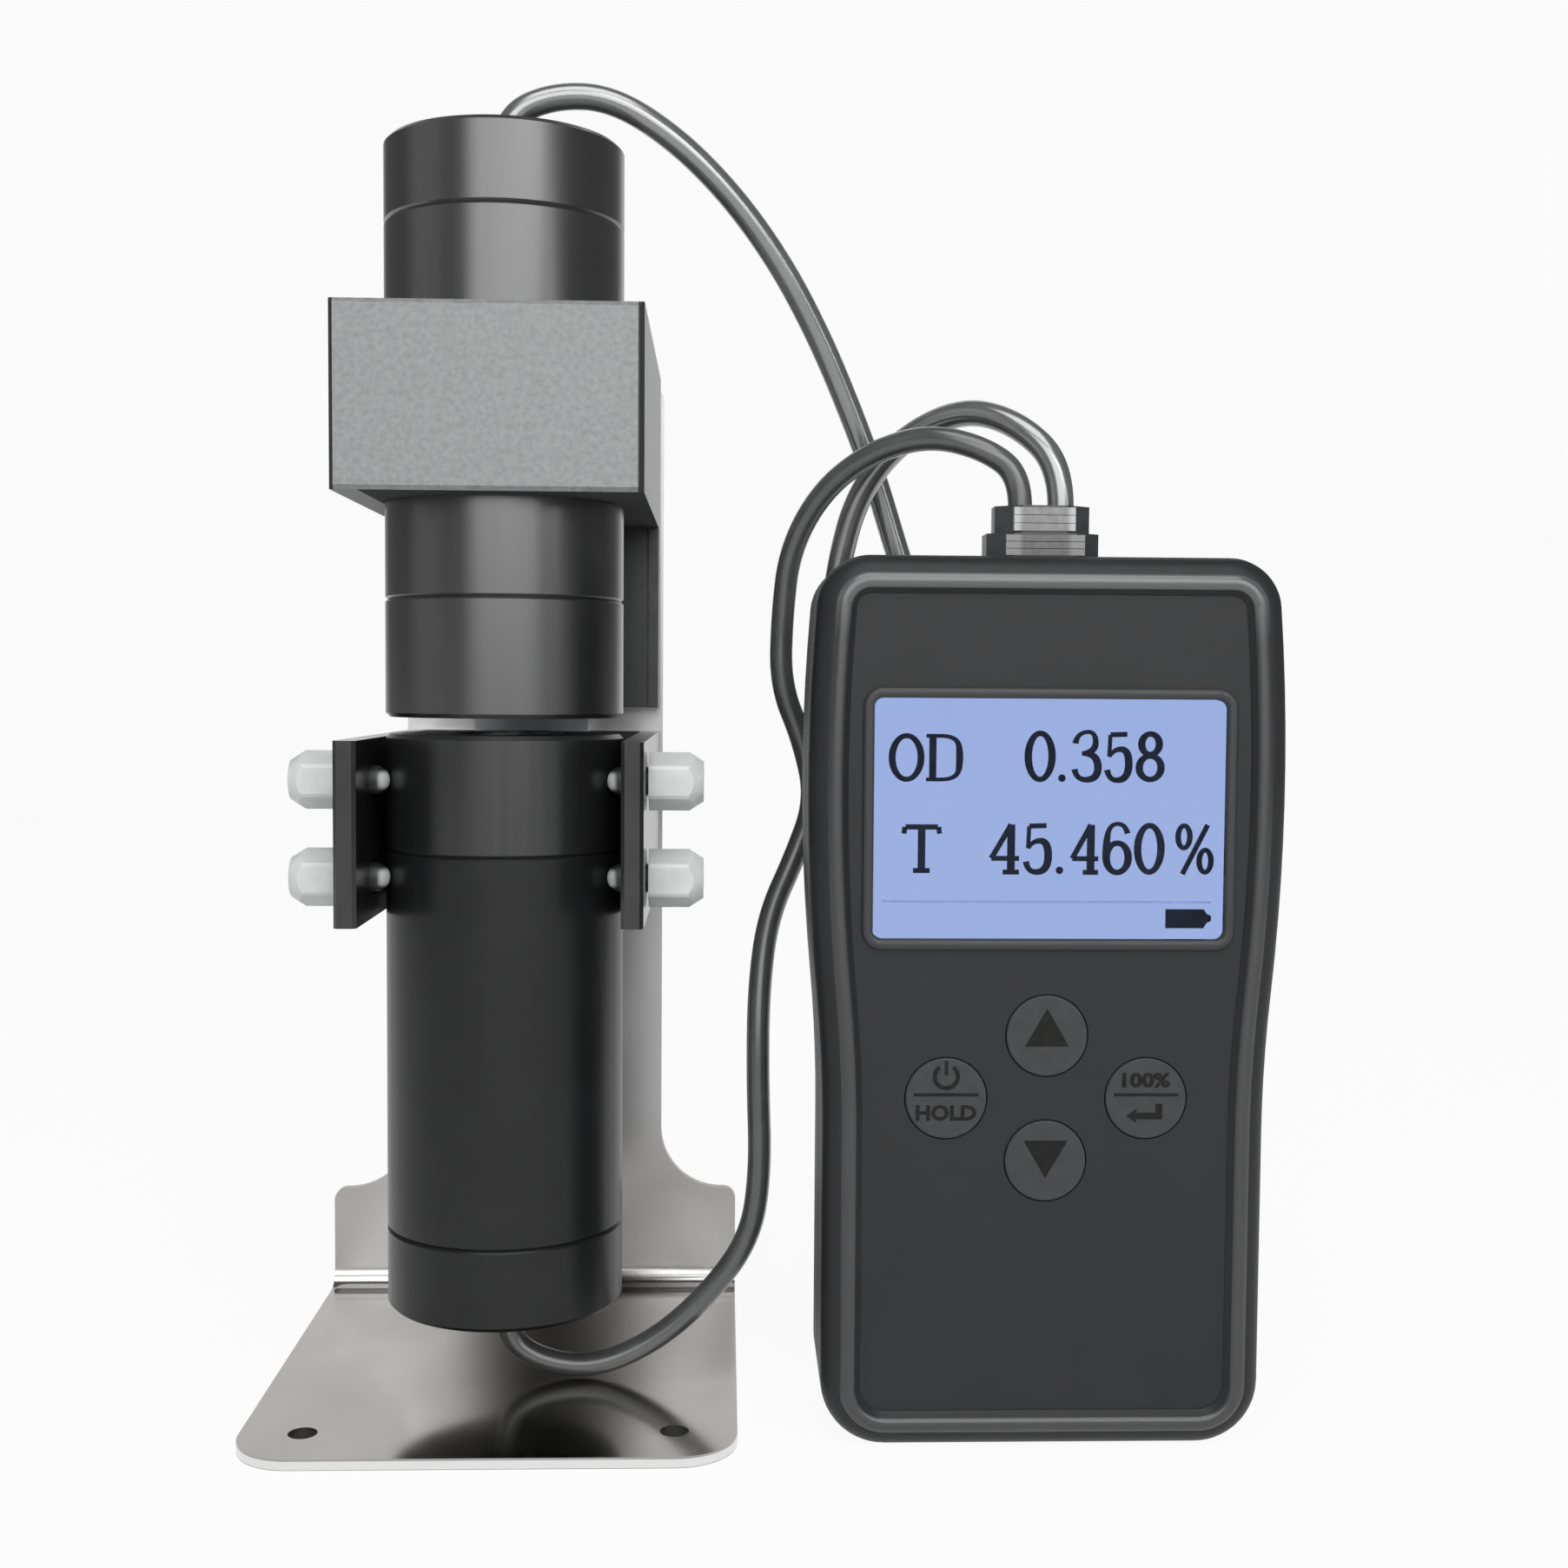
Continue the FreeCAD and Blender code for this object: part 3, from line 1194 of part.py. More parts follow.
boot_left = s.meter_x - s.lead_spacing / 2
boot_right = s.meter_x + s.lead_spacing / 2
lower_end = s.lower_probe_height - gland_reach
upper_end = upper_face + upper_length + gland_reach
lead("lower_lead", [
    (0, 0, lower_end),
    (0, 0, lower_end - s.lower_lead_drop),
    (5.0, 0, 4.0),
    (13.0, 0, 3.0),
    (21.5, 0, 6.9),
    (28.9, 0, 13.5),
    (34.9, 0, 21.7),
    (36.3, 0, 31.6),
    (35.8, 0.3, 44.5),
    (35.9, 2.2, 57.5),
    (37.3, 5.8, 67.5),
    (41.2, 8.3, 75.8),
    (44.2, 8.8, 84.2),
    (42.3, 8.8, 92.8),
    (38.9, 8.8, 100.9),
    (39.1, 8.8, 111.0),
    (40.1, 7.3, 120.5),
    (44.4, 3.0, 128.5),
    (50.9, -3.0, 133.3),
    (58.4, -8.2, 135.1),
    (65.8, -10.8, 133.0),
    (boot_left, plug_y, boot_top + s.boot_lead_rise_left),
    (boot_left, plug_y, boot_top),
])
lead("upper_lead", [
    (0, 0, upper_end),
    (0, 0, upper_end + s.upper_lead_rise),
    (6.2, 0, 183.2),
    (14.7, 0.2, 181.9),
    (23.6, 1.7, 177.0),
    (31.6, 4.1, 169.8),
    (38.6, 6.8, 161.0),
    (44.2, 9.5, 151.4),
    (48.8, 12.0, 141.6),
    (52.8, 13.8, 131.8),
    (56.1, 14.7, 121.5),
    (59.4, 14.9, 111.6),
    (64.3, 14.8, 102.4),
    (69.4, 14.6, 93.4),
    (67.6, 14.4, 84.8),
    (60.5, 14.2, 79.6),
    (51.7, 14.0, 80.5),
    (45.8, 13.6, 87.1),
    (45.9, 12.4, 97.2),
    (46.3, 10.6, 107.6),
    (47.2, 8.9, 118.2),
    (49.8, 6.6, 128.6),
    (55.7, 2.6, 136.0),
    (63.5, -3.0, 139.4),
    (70.2, -8.0, 137.1),
    (boot_right, plug_y, boot_top + s.boot_lead_rise_right),
    (boot_right, plug_y, boot_top),
])

# ---------------------------------------------------------------- write

doc.recompute()
for thing in doc.Objects:
    assert "Invalid" not in thing.State and "Error" not in thing.State, thing.Name
for name, thing in nodes.items():
    assert not thing.Shape.isNull() and thing.Shape.isValid(), name
    assert thing.Shape.Solids, name
os.makedirs("parts", exist_ok=True)
for name, thing in nodes.items():
    thing.Shape.exportStep("parts/%s.step" % name)
print(len(nodes), "nodes")
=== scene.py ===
import json
import math

import bmesh
import bpy
from mathutils import Matrix, Vector


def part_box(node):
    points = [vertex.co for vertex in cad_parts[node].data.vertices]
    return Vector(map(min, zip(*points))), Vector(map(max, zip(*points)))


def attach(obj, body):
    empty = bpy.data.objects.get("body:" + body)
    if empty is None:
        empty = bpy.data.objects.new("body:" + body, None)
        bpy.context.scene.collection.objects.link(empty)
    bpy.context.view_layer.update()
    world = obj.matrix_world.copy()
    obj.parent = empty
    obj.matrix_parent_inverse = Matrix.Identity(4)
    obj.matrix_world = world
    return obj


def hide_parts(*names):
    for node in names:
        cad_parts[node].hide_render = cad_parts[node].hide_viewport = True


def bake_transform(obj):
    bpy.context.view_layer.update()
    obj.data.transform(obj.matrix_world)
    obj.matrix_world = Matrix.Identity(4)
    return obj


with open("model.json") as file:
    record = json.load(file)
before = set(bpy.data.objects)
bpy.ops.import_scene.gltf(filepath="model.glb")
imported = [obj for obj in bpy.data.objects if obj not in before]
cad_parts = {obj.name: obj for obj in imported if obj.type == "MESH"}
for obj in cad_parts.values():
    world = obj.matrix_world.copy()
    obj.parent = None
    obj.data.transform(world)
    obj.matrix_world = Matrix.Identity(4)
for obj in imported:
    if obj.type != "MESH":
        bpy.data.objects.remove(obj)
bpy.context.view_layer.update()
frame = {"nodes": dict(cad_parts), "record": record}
nodes = frame["nodes"]
MM = 0.001
METER_MIDDLE = 73.3 * MM  # the middle of the meter and its plug, along x

# ---------------------------------------------------------------- camera

SENSOR_WIDTH = 36.0
FRAME_PIXELS = 1805
FOCAL_PIXELS = 2138.3
NEAREST_SEEN = 10 * MM
CAMERA_PLACE = (30.6, -262.6, 101.0)  # in millimetres
CAMERA_PAN, CAMERA_TILT, CAMERA_ROLL = -1.889, -3.064, 0.402  # in degrees

view = bpy.data.cameras.new("camera")
view.sensor_width = SENSOR_WIDTH
view.lens = SENSOR_WIDTH * FOCAL_PIXELS / FRAME_PIXELS
view.clip_start = NEAREST_SEEN
camera = bpy.data.objects.new("camera", view)
bpy.context.scene.collection.objects.link(camera)
camera.matrix_world = (
    Matrix.Translation(Vector(CAMERA_PLACE) * MM)
    @ Matrix.Rotation(math.radians(CAMERA_PAN), 4, "Z")
    @ Matrix.Rotation(math.radians(90 + CAMERA_TILT), 4, "X")
    @ Matrix.Rotation(math.radians(CAMERA_ROLL), 4, "Z"))
bpy.context.scene.camera = camera

# ---------------------------------------------------------------- leads

LOWER_LEAD_WIDTH, LOWER_LEAD_LENGTH = 3.3 * MM, 196 * MM
UPPER_LEAD_WIDTH, UPPER_LEAD_LENGTH = 3.6 * MM, 244 * MM

# each lead's line in millimetres, from its probe's gland to the plug
LOWER_ROUTE = [
    (0, 0, 12.7), (0, 0, 7.6), (5.0, 0, 4.0), (13.0, 0, 3.0), (21.5, 0, 6.9), (28.9, 0, 13.5),
    (34.9, 0, 21.7), (36.3, 0, 31.6), (35.8, 0.3, 44.5), (35.9, 2.2, 57.5), (37.3, 5.8, 67.5),
    (41.2, 8.3, 75.8), (44.2, 8.8, 84.2), (42.3, 8.8, 92.8), (38.9, 8.8, 100.9),
    (39.1, 8.8, 111.0), (40.1, 7.3, 120.5), (44.4, 3.0, 128.5), (50.9, -3.0, 133.3),
    (58.4, -8.2, 135.1), (65.8, -10.8, 133.0), (70.55, -11, 129.4), (70.55, -11, 125.1)]
UPPER_ROUTE = [
    (0, 0, 175.7), (0.5, 0, 179.4), (7.0, 0, 182.2), (14.9, 0.2, 181.95), (23.6, 1.7, 177.0),
    (31.6, 4.1, 169.8), (38.6, 6.8, 161.0), (44.2, 9.5, 151.4), (48.8, 12.0, 141.6),
    (52.8, 13.8, 131.8), (56.1, 14.7, 121.5), (59.4, 14.9, 111.6), (64.3, 14.8, 102.4),
    (69.4, 14.6, 93.4), (67.6, 14.4, 84.8), (60.5, 14.2, 79.6), (51.7, 14.0, 80.5),
    (45.8, 13.6, 87.1), (45.9, 12.4, 97.2), (46.3, 10.6, 107.6), (47.2, 8.9, 118.2),
    (49.8, 6.6, 128.6), (55.7, 2.6, 136.0), (63.5, -3.0, 139.4), (70.2, -8.0, 137.1),
    (76.05, -11, 131.0), (76.05, -11, 125.1)]


def lead_curve(name, route, thickness):
    """A round lead along one smooth line. With no thickness it is the line alone."""
    curve = bpy.data.curves.new(name, "CURVE")
    curve.dimensions = "3D"
    curve.resolution_u = 12
    curve.bevel_depth = thickness / 2
    curve.bevel_resolution = 6
    curve.use_fill_caps = thickness > 0
    line = curve.splines.new("NURBS")
    line.points.add(len(route) - 1)
    for point, place in zip(line.points, route):
        point.co = (*(Vector(place) * MM), 1)
    line.order_u = 3
    line.use_endpoint_u = True
    line.use_smooth = True
    return curve


def add(name, data):
    """A new object in the scene."""
    piece = bpy.data.objects.new(name, data)
    bpy.context.scene.collection.objects.link(piece)
    return piece


def meshed(name, curve):
    """The curve's own mesh, as a piece; the curve itself goes."""
    source = add(name + "_source", curve)
    bpy.context.view_layer.update()
    drawn = source.evaluated_get(bpy.context.evaluated_depsgraph_get())
    mesh = bpy.data.meshes.new_from_object(drawn)
    bpy.data.objects.remove(source)
    return add(name, mesh)


def lead_cable(name, route, node, width):
    """One lead as a round tube, in place of its CAD node; the line that it follows is drawn, then
    removed.
    """
    middle = meshed(name + "_middle", lead_curve(name + "_middle", route, 0))
    bpy.data.objects.remove(middle)
    cable = meshed(name, lead_curve(name, route, width))
    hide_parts(node)
    return cable


lower_lead = lead_cable("lower_lead_cable", LOWER_ROUTE, "lower_lead",
                        LOWER_LEAD_WIDTH)
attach(lower_lead, "stand")
upper_lead = lead_cable("upper_lead_cable", UPPER_ROUTE, "upper_lead",
                        UPPER_LEAD_WIDTH)
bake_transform(upper_lead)

# ---------------------------------------------------------------- finishes

NOISE_LOW, NOISE_HIGH = 0.3, 0.7  # nearly all of a noise's values lie between these


def worked_out(tree, operation, first, second=None):
    """A sum worked out on two sources; either may be a plain number."""
    step = tree.nodes.new("ShaderNodeMath")
    step.operation = operation
    for socket, value in zip(step.inputs, (first, second)):
        if isinstance(value, (int, float)):
            socket.default_value = value
        elif value is not None:
            tree.links.new(value, socket)
    return step.outputs[0]


class Finish:
    """One material, with the layers that its surface needs added one by one."""

    def __init__(self, name, colour, roughness, metallic=0.0, **sockets):
        self.material = bpy.data.materials.new(name)
        self.material.use_nodes = True
        self.tree = self.material.node_tree
        self.shader = self.tree.nodes["Principled BSDF"]
        self.colour = colour
        self.shader.inputs["Base Color"].default_value = (*colour, 1)
        self.shader.inputs["Roughness"].default_value = roughness
        self.shader.inputs["Metallic"].default_value = metallic
        for socket, value in sockets.items():
            self.shader.inputs[socket.replace("_", " ")].default_value = value
        self.place = self.node("ShaderNodeTexCoord").outputs["Object"]

    def node(self, kind, **settings):
        node = self.tree.nodes.new(kind)
        for name, value in settings.items():
            setattr(node, name, value)
        return node

    def link(self, start, end):
        self.tree.links.new(start, end)

    def noise(self, grain_mm, detail=3.0, stretch=(1, 1, 1)):
        """A noise whose grain is so many millimetres across, longer where it is stretched."""
        mapping = self.node("ShaderNodeMapping", vector_type="TEXTURE")
        mapping.inputs["Scale"].default_value = stretch
        self.link(self.place, mapping.inputs["Vector"])
        noise = self.node("ShaderNodeTexNoise")
        noise.inputs["Scale"].default_value = 1 / (grain_mm * MM)
        noise.inputs["Detail"].default_value = detail
        self.link(mapping.outputs["Vector"], noise.inputs["Vector"])
        return noise.outputs["Fac"]

    def spread(self, source, low, high, start=NOISE_LOW, end=NOISE_HIGH):
        """The source's range from start to end, spread between two values."""
        scale = self.node("ShaderNodeMapRange")
        sockets = ("From Min", "From Max", "To Min", "To Max")
        for socket, value in zip(sockets, (start, end, low, high)):
            scale.inputs[socket].default_value = value
        self.link(source, scale.inputs["Value"])
        return scale.outputs["Result"]

    def shade(self, source, dark, light, start=NOISE_LOW, end=NOISE_HIGH):
        """The base colour, varied between two factors of itself."""
        ramp = self.node("ShaderNodeValToRGB")
        for stop, place, factor in zip(ramp.color_ramp.elements, (start, end), (dark, light)):
            stop.position = place
            stop.color = (*(min(1, c * factor) for c in self.colour), 1)
        self.link(source, ramp.inputs["Fac"])
        self.link(ramp.outputs["Color"], self.shader.inputs["Base Color"])
        return self

    def math(self, operation, first, second=None):
        """A sum worked out on two sources; either may be a plain number."""
        return worked_out(self.tree, operation, first, second)

    def mixed(self, kind, mask, socket, value):
        """Another value for one of the shader's sockets, where the mask is 1."""
        target = self.shader.inputs[socket]
        mix = self.node("ShaderNodeMix", data_type=kind)
        mix.inputs["A"].default_value = target.default_value
        if target.is_linked:
            self.link(target.links[0].from_socket, mix.inputs["A"])
        mix.inputs["B"].default_value = value
        self.link(mask, mix.inputs["Factor"])
        self.link(mix.outputs["Result"], target)

    def tint(self, mask, colour, roughness=None):
        """Another colour, and where given another roughness, where the mask is 1."""
        self.mixed("RGBA", mask, "Base Color", (*colour, 1))
        if roughness is not None:
            self.mixed("FLOAT", mask, "Roughness", roughness)
        return self

    def sides(self):
        """The surface's own place, as x, y and z."""
        split = self.node("ShaderNodeSeparateXYZ")
        self.link(self.place, split.inputs["Vector"])
        return split.outputs

    def gloss(self, source, low, high, start=NOISE_LOW, end=NOISE_HIGH):
        """The roughness, varied between two values."""
        self.link(self.spread(source, low, high, start, end), self.shader.inputs["Roughness"])
        return self

    def relief(self, source, depth_mm, strength=1.0):
        """Raised and sunk by the source, on top of any relief already there."""
        bump = self.node("ShaderNodeBump")
        bump.inputs["Strength"].default_value = strength
        bump.inputs["Distance"].default_value = depth_mm * MM
        self.link(source, bump.inputs["Height"])
        if self.shader.inputs["Normal"].is_linked:
            self.link(self.shader.inputs["Normal"].links[0].from_socket, bump.inputs["Normal"])
        self.link(bump.outputs["Normal"], self.shader.inputs["Normal"])
        return self


def stand_steel():
    """Bright sheet, brushed from side to side, with soft clouds where hands have been. Painted
    light:
    the column paler, a pale highlight along the base's cut edge, dark shade on its two holes'
    walls."""
    column_light_from, column_light_whole = 18 * MM, 32 * MM
    wear_and_highlight_from, wear_and_highlight_whole = 2 * MM, 5 * MM
    cut_foot, cut_top = 0.1 * MM, 1.2 * MM
    hole_aside, hole_front, hole_reach, hole_top = 24.6 * MM, 19.5 * MM, 1.96 * MM, 3 * MM
    f = Finish("stand_steel", (0.392, 0.384, 0.375), 0.2, 1.0)
    f.shade(f.noise(16, 2), 0.9, 1.08, 0.2, 0.8)
    x, y, z = f.sides()
    # painted light: the column is painted paler than the base, for the light it shows
    f.tint(f.spread(z, 0.0, 1.0, column_light_from, column_light_whole), (0.57, 0.57, 0.573))
    clouds = f.spread(f.noise(11, 2), 0.11, 0.18, 0.2, 0.8)
    rougher = f.spread(z, 0.0, 0.17, wear_and_highlight_from, wear_and_highlight_whole)
    f.link(f.math("ADD", clouds, rougher), f.shader.inputs["Roughness"])
    # painted highlight: the base's cut edge is painted pale
    cut = f.math("MULTIPLY", f.math("GREATER_THAN", z, cut_foot), f.math("LESS_THAN", z, cut_top))
    f.tint(cut, (0.78, 0.78, 0.785), 0.3)
    # painted shade: the walls of the base's two holes are painted dark
    aside = f.math("POWER", f.math("SUBTRACT", f.math("ABSOLUTE", x), hole_aside), 2.0)
    ahead = f.math("POWER", f.math("ADD", y, hole_front), 2.0)
    hole_shade = f.math("MULTIPLY", f.math("LESS_THAN", f.math("ADD", aside, ahead), hole_reach ** 2),
                   f.math("LESS_THAN", z, hole_top))
    f.tint(hole_shade, (0.05, 0.049, 0.048), 0.6)
    return f.relief(f.noise(0.35, 2, (50, 1, 1)), 0.002, 0.45)


def rail_steel():
    f = Finish("rail_steel", (0.5, 0.51, 0.53), 0.3, 1.0)
    f.shade(f.noise(6, 3), 0.85, 1.1)
    return f.gloss(f.noise(2, 2), 0.28, 0.36)


def turned_black(name, shine, coat):
    """Satin black anodised: rings from the lathe, and faint streaks along the tube from wiping."""
    f = Finish(name, (0.0105, 0.0108, 0.0115), 0.33, 0.0, Specular_IOR_Level=shine,
               Coat_Weight=coat, Coat_Roughness=0.28, Coat_IOR=1.7)
    f.shade(f.noise(7, 2), 0.88, 1.12)
    f.gloss(f.noise(1.4, 2, (1, 1, 60)), 0.3, 0.36)
    return f.relief(f.noise(0.5, 2, (200, 200, 1)), 0.0012, 0.5)


def clamp_black():
    f = Finish("clamp_black", (0.012, 0.012, 0.013), 0.3, 0.0, Coat_Weight=0.35,
               Coat_Roughness=0.12)
    f.shade(f.noise(4, 3), 0.7, 1.35)
    return f.relief(f.noise(0.6, 3), 0.01, 0.5)


def saddle_black():
    f = Finish("saddle_black", (0.022, 0.022, 0.024), 0.6)
    f.shade(f.noise(3, 3), 0.8, 1.25)
    return f.relief(f.noise(0.3, 2), 0.015, 0.6)


def blasted_grey():
    """Bead blasted and clear anodised: a fine even sparkle. Painted light and shade: paler sides, a
    dark line down each front edge, a darker underside, and a painted shadow across most of it."""
    underside, shade_from, side = 125.72 * MM, -16.7 * MM, 20.22 * MM
    left_line, right_line, front = -19.68 * MM, 19.45 * MM, -20.05 * MM
    f = Finish("blasted_grey", (0.245, 0.247, 0.25), 0.52, 0.2)
    f.shade(f.noise(0.8, 5), 0.82, 1.17, 0.33, 0.67)
    f.gloss(f.noise(0.8, 2), 0.44, 0.6)
    x, y, z = f.sides()
    # painted shade: the underside is painted darker
    under = f.math("LESS_THAN", z, underside)
    f.tint(under, (0.21, 0.21, 0.213), 0.6)
    # painted shadow: the underside right of the probe's left edge is painted nearly black, and not
    # metallic
    shaded = f.math("MULTIPLY", under, f.math("GREATER_THAN", x, shade_from))
    f.tint(shaded, (0.01, 0.01, 0.0105), 1.0)
    f.link(f.spread(shaded, 0.2, 0.0, 0.0, 1.0), f.shader.inputs["Metallic"])
    # painted light: the sides are painted paler than the front
    f.tint(f.math("GREATER_THAN", f.math("ABSOLUTE", x), side), (0.46, 0.462, 0.465), 0.45)
    # painted reflection: a dark line down each upright edge of the front, where its chamfer
    # reflects the dark
    edge_line_shade = f.math("MAXIMUM", f.math("GREATER_THAN", x, right_line),
                   f.math("LESS_THAN", x, left_line))
    f.tint(f.math("MULTIPLY", edge_line_shade, f.math("LESS_THAN", y, front)), (0.028, 0.028, 0.029), 0.6)
    return f.relief(f.noise(0.3, 3), 0.012, 0.6)


def carriage_black():
    f = Finish("carriage_black", (0.012, 0.0128, 0.0135), 0.36, 0.0, Specular_IOR_Level=0.7)
    f.shade(f.noise(5, 3), 0.75, 1.3)
    f.gloss(f.noise(2, 3), 0.3, 0.44)
    return f.relief(f.noise(0.25, 2), 0.004, 0.5)


def screw_steel():
    f = Finish("screw_steel", (0.2, 0.2, 0.21), 0.38, 1.0)
    f.shade(f.noise(1.2, 3), 0.7, 1.25)
    return f.relief(f.noise(0.3, 2), 0.004, 0.5)


def nylon_white():
    """Natural nylon: milky, a little see-through, with a soft moulded skin."""
    f = Finish("nylon_white", (0.69, 0.7, 0.7), 0.38, 0.0, Subsurface_Weight=0.55,
               Subsurface_Scale=0.0016, Transmission_Weight=0.12, IOR=1.53)
    f.shader.inputs["Subsurface Radius"].default_value = (1.0, 0.95, 0.9)
    f.shade(f.noise(2.5, 3), 0.93, 1.05)
    return f.relief(f.noise(0.5, 2), 0.006, 0.4)


def stud_black_with_highlight():
    """The clamp's studs: black, with a highlight painted as a white strip along the front of each
    tip.
    """
    pair_middle, pair_half = 81 * MM, 6.65 * MM
    tip_whole, tip_end = 15.7 * MM, 16.3 * MM
    core_whole, core_end = 0.8 * MM, 1.4 * MM
    f = Finish("stud_black_with_highlight", (0.014, 0.014, 0.0145), 0.45)
    f.shade(f.noise(1.5, 2), 0.85, 1.2)
    x, _, z = f.sides()
    tip = f.spread(f.math("ABSOLUTE", x), 1.0, 0.0, tip_whole, tip_end)
    from_middle = f.math("ABSOLUTE", f.math("SUBTRACT", z, pair_middle))
    off_axis = f.math("ABSOLUTE", f.math("SUBTRACT", from_middle, pair_half))
    highlight_strip = f.spread(off_axis, 1.0, 0.0, core_whole, core_end)
    # painted highlight: a white strip along the front of each stud's tip
    f.tint(f.math("MULTIPLY", tip, highlight_strip), (0.5, 0.51, 0.51), 0.4)
    return f.relief(f.noise(0.5, 2), 0.004, 0.4)


def case_grey(name, colour, roughness, shine, skin_mm):
    """Moulded case with a fine spark-eroded skin, so many millimetres deep."""
    f = Finish(name, colour, roughness, 0.0, Specular_IOR_Level=shine)
    f.shade(f.noise(9, 2), 0.95, 1.06)
    f.gloss(f.noise(0.5, 3), roughness - 0.05, roughness + 0.06)
    return f.relief(f.noise(0.22, 3), skin_mm, 0.5)


def key_rubber():
    f = Finish("key_rubber", (0.038, 0.039, 0.041), 0.55, 0.0, Specular_IOR_Level=0.35)
    f.shade(f.noise(2, 3), 0.88, 1.14)
    return f.relief(f.noise(0.18, 2), 0.006, 0.5)


def legend_black():
    f = Finish("legend_black", (0.0135, 0.0132, 0.0128), 0.6, 0.0, Specular_IOR_Level=0.12)
    return f.shade(f.noise(0.8, 2), 0.8, 1.3)


def keypad_rubber():
    f = Finish("keypad_rubber", (0.16, 0.16, 0.17), 0.65)
    return f.shade(f.noise(2, 3), 0.85, 1.15)


def window_clear():
    f = Finish("window_clear", (0.98, 0.985, 1.0), 0.03, 0.0, Transmission_Weight=1.0, IOR=1.12)
    return f.gloss(f.noise(6, 2), 0.02, 0.05)


def lit_display():
    """The display's face, lit evenly from behind, with faint soft clouds in its blue."""
    f = Finish("lit_display", (0.05, 0.06, 0.08), 0.5, 0.0, Emission_Strength=1.0,
               Specular_IOR_Level=0.15)
    ramp = f.node("ShaderNodeValToRGB")
    blues = ((0.304, 0.399, 0.675, 1), (0.331, 0.427, 0.7, 1))
    for stop, blue in zip(ramp.color_ramp.elements, blues):
        stop.color = blue
    f.link(f.noise(16, 2), ramp.inputs["Fac"])
    f.link(ramp.outputs["Color"], f.shader.inputs["Emission Color"])
    return f


def display_ink():
    f = Finish("display_ink", (0.004, 0.007, 0.016), 0.6, 0.0, Specular_IOR_Level=0.1)
    return f.shade(f.noise(1.5, 2), 0.8, 1.3)


def display_rule():
    f = Finish("display_rule", (0.1, 0.13, 0.3), 0.55, 0.0, Emission_Strength=0.35)
    f.shader.inputs["Emission Color"].default_value = (0.25, 0.32, 0.62, 1)
    return f.shade(f.noise(1.5, 2), 0.9, 1.1)


def board_green():
    f = Finish("board_green", (0.03, 0.2, 0.08), 0.35, 0.0, Coat_Weight=0.3)
    return f.shade(f.noise(1.2, 3), 0.75, 1.2)


def lead_grey(name, tone, coat, bend):
    """Smooth moulded jacket with a soft shine; its coat bends light by so much."""
    f = Finish(name, (tone, tone * 1.02, tone * 1.04), 0.36, 0.0, Coat_Weight=coat,
               Coat_Roughness=0.2, Coat_IOR=bend)
    f.shade(f.noise(4, 3), 0.85, 1.15)
    f.gloss(f.noise(2, 2), 0.3, 0.42)
    return f.relief(f.noise(3, 1), 0.004, 0.3)


def gland_rubber():
    f = Finish("gland_rubber", (0.02, 0.02, 0.021), 0.6)
    return f.shade(f.noise(1, 2), 0.8, 1.25)


def plug_black():
    f = Finish("plug_black", (0.034, 0.035, 0.037), 0.36, 0.0, Specular_IOR_Level=0.6)
    f.shade(f.noise(2, 3), 0.8, 1.25)
    return f.relief(f.noise(0.2, 2), 0.004, 0.5)


def grip_grey(name, tone):
    """The plug's ribbed pads, with a highlight painted paler at both ends."""
    wear_and_highlight_from, wear_and_highlight_whole = 2.9 * MM, 3.6 * MM
    f = Finish(name, (tone, tone, tone * 1.01), 0.4)
    f.shade(f.noise(0.9, 2), 0.84, 1.14)
    from_middle = f.math("ABSOLUTE", f.math("SUBTRACT", f.sides()[0], METER_MIDDLE))
    # painted highlight: both ends of each pad are painted twice as pale
    f.tint(f.spread(from_middle, 0.0, 1.0, wear_and_highlight_from, wear_and_highlight_whole), (tone * 2, tone * 2, tone * 2))
    return f.relief(f.noise(0.2, 2), 0.004, 0.5)


def optic_glass():
    f = Finish("optic_glass", (0.96, 0.98, 1.0), 0.03, 0.0, Transmission_Weight=1.0, IOR=1.5)
    return f.gloss(f.noise(3, 2), 0.02, 0.06)


def inner_black():
    f = Finish("inner_black", (0.02, 0.02, 0.02), 0.75)
    return f.shade(f.noise(1.5, 2), 0.8, 1.25)


def emitter_epoxy():
    f = Finish("emitter_epoxy", (0.8, 0.78, 0.62), 0.2, 0.0, Transmission_Weight=0.5)
    return f.shade(f.noise(0.8, 2), 0.9, 1.1)


def contact_steel():
    f = Finish("contact_steel", (0.66, 0.65, 0.62), 0.28, 1.0)
    return f.shade(f.noise(1, 3), 0.85, 1.1)


def cell_jacket():
    f = Finish("cell_jacket", (0.14, 0.145, 0.16), 0.35, 0.3)
    return f.shade(f.noise(5, 2), 0.85, 1.15)


FINISHES = {
    "stand_steel": stand_steel(),
    "rail_steel": rail_steel(),
    "probe_black": turned_black("lamp_probe_black", 0.3, 0.0),
    "clamp_black": clamp_black(),
    "saddle_black": saddle_black(),
    "holder_grey": blasted_grey(),
    "carriage_black": carriage_black(),
    "screw_steel": screw_steel(),
    "nylon_white": nylon_white(),
    "case_grey": case_grey("case_grey", (0.0185, 0.019, 0.0203), 0.46, 0.28, 0.005),
    "key_black": key_rubber(),
    "keypad_rubber": keypad_rubber(),
    "window_clear": window_clear(),
    "lcd_blue": lit_display(),
    "board_green": board_green(),
    "lead_grey": lead_grey("lead_grey", 0.08, 1.0, 2.45),
    "gland_rubber": gland_rubber(),
    "plug_black": plug_black(),
    "optic_glass": optic_glass(),
    "inner_black": inner_black(),
    "emitter_epoxy": emitter_epoxy(),
    "contact_steel": contact_steel(),
    "cell_jacket": cell_jacket()}


